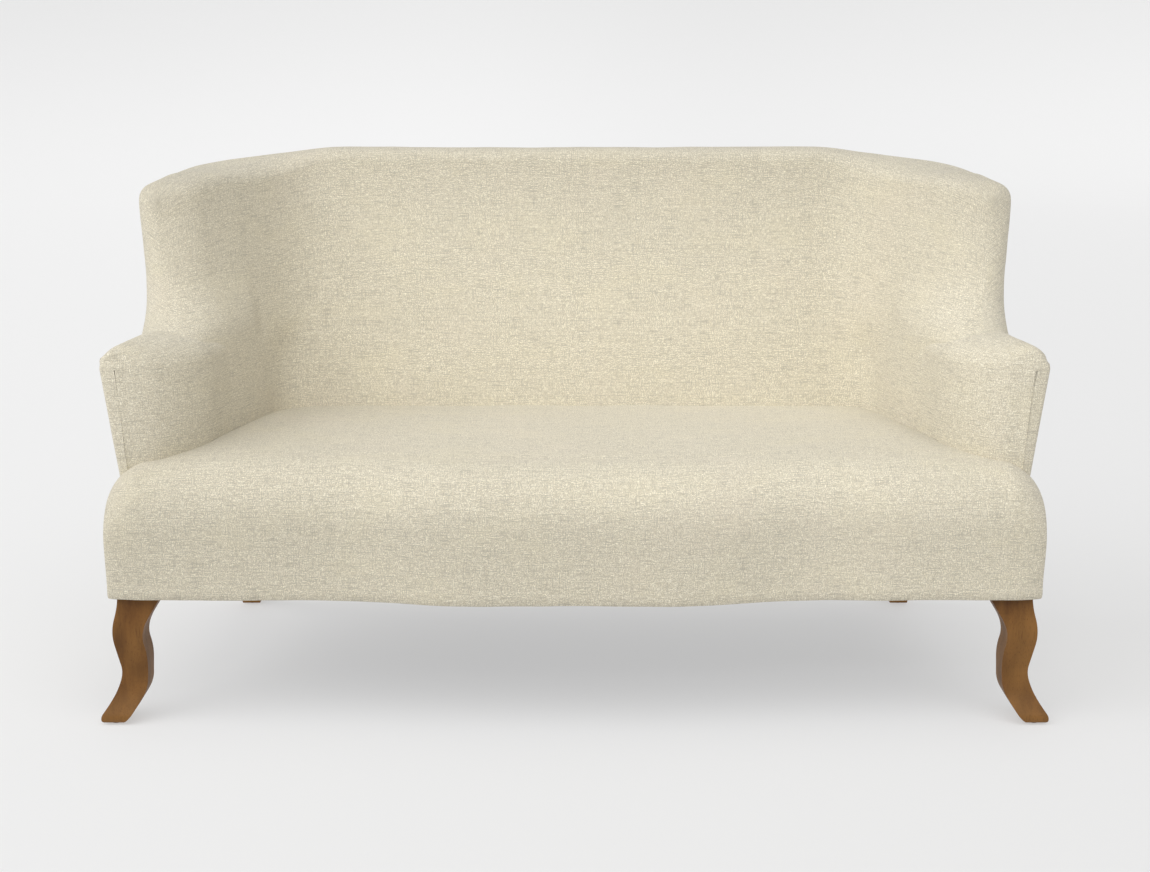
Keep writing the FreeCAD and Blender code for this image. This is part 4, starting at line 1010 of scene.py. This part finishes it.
def panelGrids(stations, heights, outer):
    # skin and lining of a panel from an outer surface, with its rims turned in
    shape = panelShape
    grid = []
    for station in stations:
        column = [(outer(station, z), z) for z in heights(station)]
        grid.append([Vector((place.x, yOf(place.y), z)) for place, z in column])
    wide, tall = len(grid), len(grid[0])
    normals = gridNormals(grid)
    sign = 1.0 if normals[wide // 2][tall // 2].dot(Vector((0.6, 1.0, 0))) > 0 else -1.0
    edge, deep = shape["proud"] - shape["rim"], shape["thick"] - shape["proud"]
    skin, lining = [], []
    for i, column in enumerate(grid):
        aways = [normal * sign for normal in normals[i]]
        inside = shape["proud"] if 0 < i < wide - 1 else edge
        lifts = [edge] + [inside] * (tall - 2) + [edge]
        skin.append([point + away * lift for point, away, lift in zip(column, aways, lifts)])
        lining.append([point - away * deep for point, away in zip(column, aways)])
    return skin, lining


def rimmedSteps(first, last, count):
    # even steps with two more just inside each end, so that a rim turns over within a small width
    step = math.copysign(panelShape["rimWide"], last - first)
    near = panelShape["rimFirst"]
    inside = evenSteps(first, last, count)[1:-1]
    return [first, first + step * near, first + step] + inside + [last - step, last - step * near, last]


panelLow = settee["coverEdge"] + panelShape["low"]


def backHeights(x):
    return rimmedSteps(backShape["crestBack"] - panelShape["topDrop"], panelLow, panelShape["rows"])


def sideStations():
    # round the corner from the back's flat, then along the wing to its front
    shape = panelShape
    turns = evenSteps(1.0, 0.0, shape["steps"]["corner"])
    turns[1:1] = shape["cornerStart"]
    shares = evenSteps(0.0, shape["wingEven"], shape["steps"]["wing"])[1:] + list(shape["wingEnds"])
    return [("corner", turn) for turn in turns] + [("wing", share) for share in shares]


def sideHeights(station):
    kind, at = station
    crest = crestAt(at) if kind == "corner" else wingCrest(at)
    low = panelLow if kind == "corner" else mix(smoothStep(at * 3), *panelShape["wingLow"])
    return rimmedSteps(crest - panelShape["topDrop"], low, panelShape["rows"])


def sideOuter(station, z):
    kind, at = station
    return cornerOuter(at, z) if kind == "corner" else wingOuter(at, z)


def armPanelHeights(depth):
    return rimmedSteps(armShape["top"] - armShape["shoulder"], panelLow, panelShape["armRows"])


backStations = rimmedSteps(-settee["pivotHalf"], settee["pivotHalf"], panelShape["steps"]["back"])
backSkin, backLining = panelGrids(backStations, backHeights, lambda x, z: flatAt("outerBack", x, z))
padPiece("outside_back_panel", softened(backSkin, 1.2), backLining, ["outside_back"])
armDepths = rimmedSteps(armShape["front"] + panelShape["armSetback"],
                        settee["pivotDepth"] + panelShape["armTail"], panelShape["steps"]["arm"])
sidePanels = (
    ("wing", panelGrids(sideStations(), sideHeights, sideOuter)),
    ("arm", panelGrids(armDepths, armPanelHeights, lambda depth, z: Vector((armOuter(depth, z), depth)))),
)
for side, turned in pairs:
    for part, (skin, lining) in sidePanels:
        padPiece(f"outside_{part}_panel_{side}", softened(turned(skin)), turned(lining),
                 [f"outside_{part}_{side}"])

# hessian over the springs and dust cover under the frame, both tacked flat to the rails
deckShape = {
    "frontSetback": 0.022,   # from the seat's front face
    "legFront": 0.0945,      # behind the front legs' corner
    "legRear": 0.573,        # before the rear legs
    "rear": 0.596,
    "halfFront": 0.747,
    "halfRear": 0.681,
    "cornerShare": 0.9517,   # share of the half width where the cloth is cut away for the legs
    "cutWide": 0.0005,
    "edgeShare": 0.98,
    "hessianIn": 0.0165,
    "hessianRear": 0.588,
    "under": 0.0002,         # below the top of the solid that each cloth stands for
    "sag": 0.004,
    "sagShares": (0.65, 0.35),              # of the sag, even and rippled
    "ripple": (5.0, 9.0, 40.0),
    "fadeSide": 0.30,        # the sag grows over this share of the half width, and over these steps
    "fadeSteps": (9, 5),
    "thick": 0.0007,
    "across": 44,            # steps from the middle to a side, and from front to back
    "along": 40,
}


def deckHalf(depth, inset):
    share = (depth - deckShape["frontSetback"]) / (deckShape["rear"] - deckShape["frontSetback"])
    return mix(share, deckShape["halfFront"], deckShape["halfRear"]) - inset


def deckSheet(name, solid, slotName, inset, rear, cutAway, sag):
    # a cloth with the serpentine front, in place of a solid
    shape = deckShape
    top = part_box(solid)[1][2] - shape["under"]
    corner, across, steps = shape["cornerShare"], shape["across"], shape["along"]
    fadeFront, fadeRear = shape["fadeSteps"]
    even, rippled = shape["sagShares"]
    ends = [corner + shape["cutWide"], shape["edgeShare"], 1.0]
    shares = [-share for share in reversed(ends)] + evenSteps(-corner, corner, 2 * across) + ends
    skin, lining = [], []
    for share in shares:
        front = shape["frontSetback"] - bowAt(share * deckHalf(shape["frontSetback"], inset))
        back = rear
        if cutAway and abs(share) > corner:
            front, back = shape["legFront"], shape["legRear"]
        column = []
        for n, depth in enumerate(evenSteps(front, back, steps)):
            x = share * deckHalf(depth, inset)
            free = smoothStep((1 - abs(share)) / shape["fadeSide"])
            free *= smoothStep(n / fadeFront) * smoothStep((steps - n) / fadeRear)
            ripple = noise.noise(Vector((x, depth, top)) * Vector(shape["ripple"])) * rippled
            column.append(Vector((x, yOf(depth), top - free * sag * (even + ripple))))
        skin.append(column)
        lining.append([point - Vector((0, 0, shape["thick"])) for point in column])
    piece = shellMesh(name, skin, lining)
    finishCloth(piece, [solid], slotName)


deckSheet("hessian_sheet", "seat_hessian", "hessian", deckShape["hessianIn"], deckShape["hessianRear"],
          False, 0.0)
deckSheet("dust_cloth_sheet", "dust_cover", "dust_cloth", 0.0, deckShape["rear"], True, deckShape["sag"])

# webbing down the front of the back frame
webShape = {"count": 6, "wide": 0.050, "thick": 0.0016, "rim": 0.0004, "steps": 24,
            "shares": (0.0, 0.02, 0.5, 0.98, 1.0)}
webLow, webHigh = (Vector(corner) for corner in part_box("back_webbing"))


def webStrap(index):
    shape = webShape
    step = (webHigh.x - webLow.x - shape["wide"]) / (shape["count"] - 1)
    left = webLow.x + step * index
    skin, lining = [], []
    for share in shape["shares"]:
        column, under = [], []
        rim = shape["rim"] if share in (0.0, 1.0) else 0.0
        for up in evenSteps(0.0, 1.0, shape["steps"]):
            x = left + shape["wide"] * share
            y = mix(up, webLow.y, webHigh.y - shape["thick"])
            z = mix(up, webLow.z, webHigh.z)
            column.append(Vector((x, y + rim, z)))
            under.append(Vector((x, y + shape["thick"] - rim, z)))
        skin.append(column)
        lining.append(under)
    return shellMesh(f"web_strap_{index}", skin, lining)


straps = [webStrap(index) for index in range(webShape["count"])]
bpy.ops.object.select_all(action="DESELECT")
for strap in straps:
    strap.select_set(True)
bpy.context.view_layer.objects.active = straps[0]
bpy.ops.object.join()
webbing = straps[0]
webbing.name = "back_webbing_straps"
finishCloth(webbing, ["back_webbing"], "webbing")
print("webbing")

# floor and backdrop in one round sweep
stageShape = {"radius": 11.0, "curve": 3.0, "height": 2.2, "steps": 10}
bpy.ops.mesh.primitive_circle_add(vertices=96, radius=stageShape["radius"], fill_type="NGON")
sweep = bpy.context.object
sweep.name = "studio_sweep"
bpy.ops.object.mode_set(mode="EDIT")
bpy.ops.mesh.select_all(action="SELECT")
reach, level = stageShape["radius"], 0.0
for step in range(1, stageShape["steps"] + 2):
    angle = math.pi / 2 * min(step, stageShape["steps"]) / stageShape["steps"]
    nextReach = stageShape["radius"] + stageShape["curve"] * math.sin(angle)
    nextLevel = stageShape["curve"] * (1 - math.cos(angle))
    if step == 1:
        bpy.ops.mesh.region_to_loop()
    if step > stageShape["steps"]:
        nextLevel += stageShape["height"]
    bpy.ops.mesh.extrude_edges_move(TRANSFORM_OT_translate={"value": (0, 0, nextLevel - level)})
    bpy.ops.transform.resize(value=(nextReach / reach, nextReach / reach, 1))
    reach, level = nextReach, nextLevel
bpy.ops.mesh.select_all(action="SELECT")
bpy.ops.mesh.normals_make_consistent(inside=True)
bpy.ops.object.mode_set(mode="OBJECT")
bpy.ops.object.shade_smooth_by_angle(angle=math.radians(40))

# its paper is painted with light: lighter on the left, darker to the right and up the wall, as the light
# falls, and it glows a little, painted light that keeps shadows soft
paperLook = {
    # painted light: the paper's tones at the left and right, lighter on the lit side
    "left": 0.410,
    "right": 0.352,
    "half": 1.8,             # the left and right tones are reached this far out
    # painted shade: how much darker the paper is painted high up the wall
    "wall": 0.84,
    "wallHigh": 2.0,
    "glow": 0.46,
    "roughness": 0.9,
    "specular": 0.1,
}
paper, paperTree, paperShader = startMaterial("studioPaper", paperLook["roughness"], paperLook["specular"])
paperShader.inputs["Emission Color"].default_value = (1.0, 1.0, 1.0, 1)
paperShader.inputs["Emission Strength"].default_value = paperLook["glow"]
paperPlace = separated(paperTree, objectPlace(paperTree))
# painted light and shade over the sweep: lighter to the left, darker up the wall
paintedSideLight = spread(paperTree, paperPlace[0], -paperLook["half"], paperLook["half"], paperLook["left"],
                   paperLook["right"])
paintedWallShade = spread(paperTree, paperPlace[2], 0.0, paperLook["wallHigh"], 1.0, paperLook["wall"])
paperTree.links.new(calc(paperTree, "MULTIPLY", paintedSideLight, paintedWallShade), paperShader.inputs["Base Color"])
sweep.data.materials.append(paper)
print("floor and backdrop")

# soft studio light: the room's own even light, a broad key from the left, one from the front, and a
# narrow strip that brightens the foot of the inside back
lightShape = {
    "suns": {
        "key": ((-0.85, -0.36, 0.50), 60, 1.95),      # direction, width in degrees, strength
        "front": ((0.15, -0.48, 0.90), 60, 1.05),
    },
    "sunsAway": 5,
    "strip": {"place": (-0.40, -1.60, 1.25), "aim": (0.10, 0.15, 0.53), "long": 1.5, "wide": 0.2},
    "stripSpread": 38,       # degrees
    "stripWatts": 1.05,
    "world": 0.42,
}


def addLamp(name, kind, place, towards, power):
    bpy.ops.object.light_add(type=kind, location=place)
    lamp = bpy.context.object
    lamp.name = name
    lamp.data.energy = power
    lamp.rotation_euler = towards.to_track_quat("Z", "Y").to_euler()
    return lamp.data


for name, (towards, width, power) in lightShape["suns"].items():
    away = Vector(towards)
    addLamp(name, "SUN", away * lightShape["sunsAway"], away, power).angle = math.radians(width)
strip = lightShape["strip"]
stripAway = Vector(strip["place"]) - Vector(strip["aim"])
stripLamp = addLamp("strip", "AREA", strip["place"], stripAway, lightShape["stripWatts"])
stripLamp.shape = "RECTANGLE"
stripLamp.size = strip["long"]
stripLamp.size_y = strip["wide"]
stripLamp.spread = math.radians(lightShape["stripSpread"])
world = bpy.data.worlds.new("studio")
scene.world = world
world.use_nodes = True
world.node_tree.nodes["Background"].inputs[0].default_value = (1.0, 1.0, 1.0, 1)
world.node_tree.nodes["Background"].inputs[1].default_value = lightShape["world"]
scene.view_settings.view_transform = "Standard"
print("light")

cameraShape = {"lens": 57.46, "sensor": 36.0, "down": 12.05, "place": (0.0, -3.346, 1.148)}
bpy.ops.object.camera_add(location=cameraShape["place"])
camera = bpy.context.object
camera.data.lens = cameraShape["lens"]
camera.data.sensor_width = cameraShape["sensor"]
camera.rotation_euler = (math.radians(90 - cameraShape["down"]), 0, 0)
scene.camera = camera
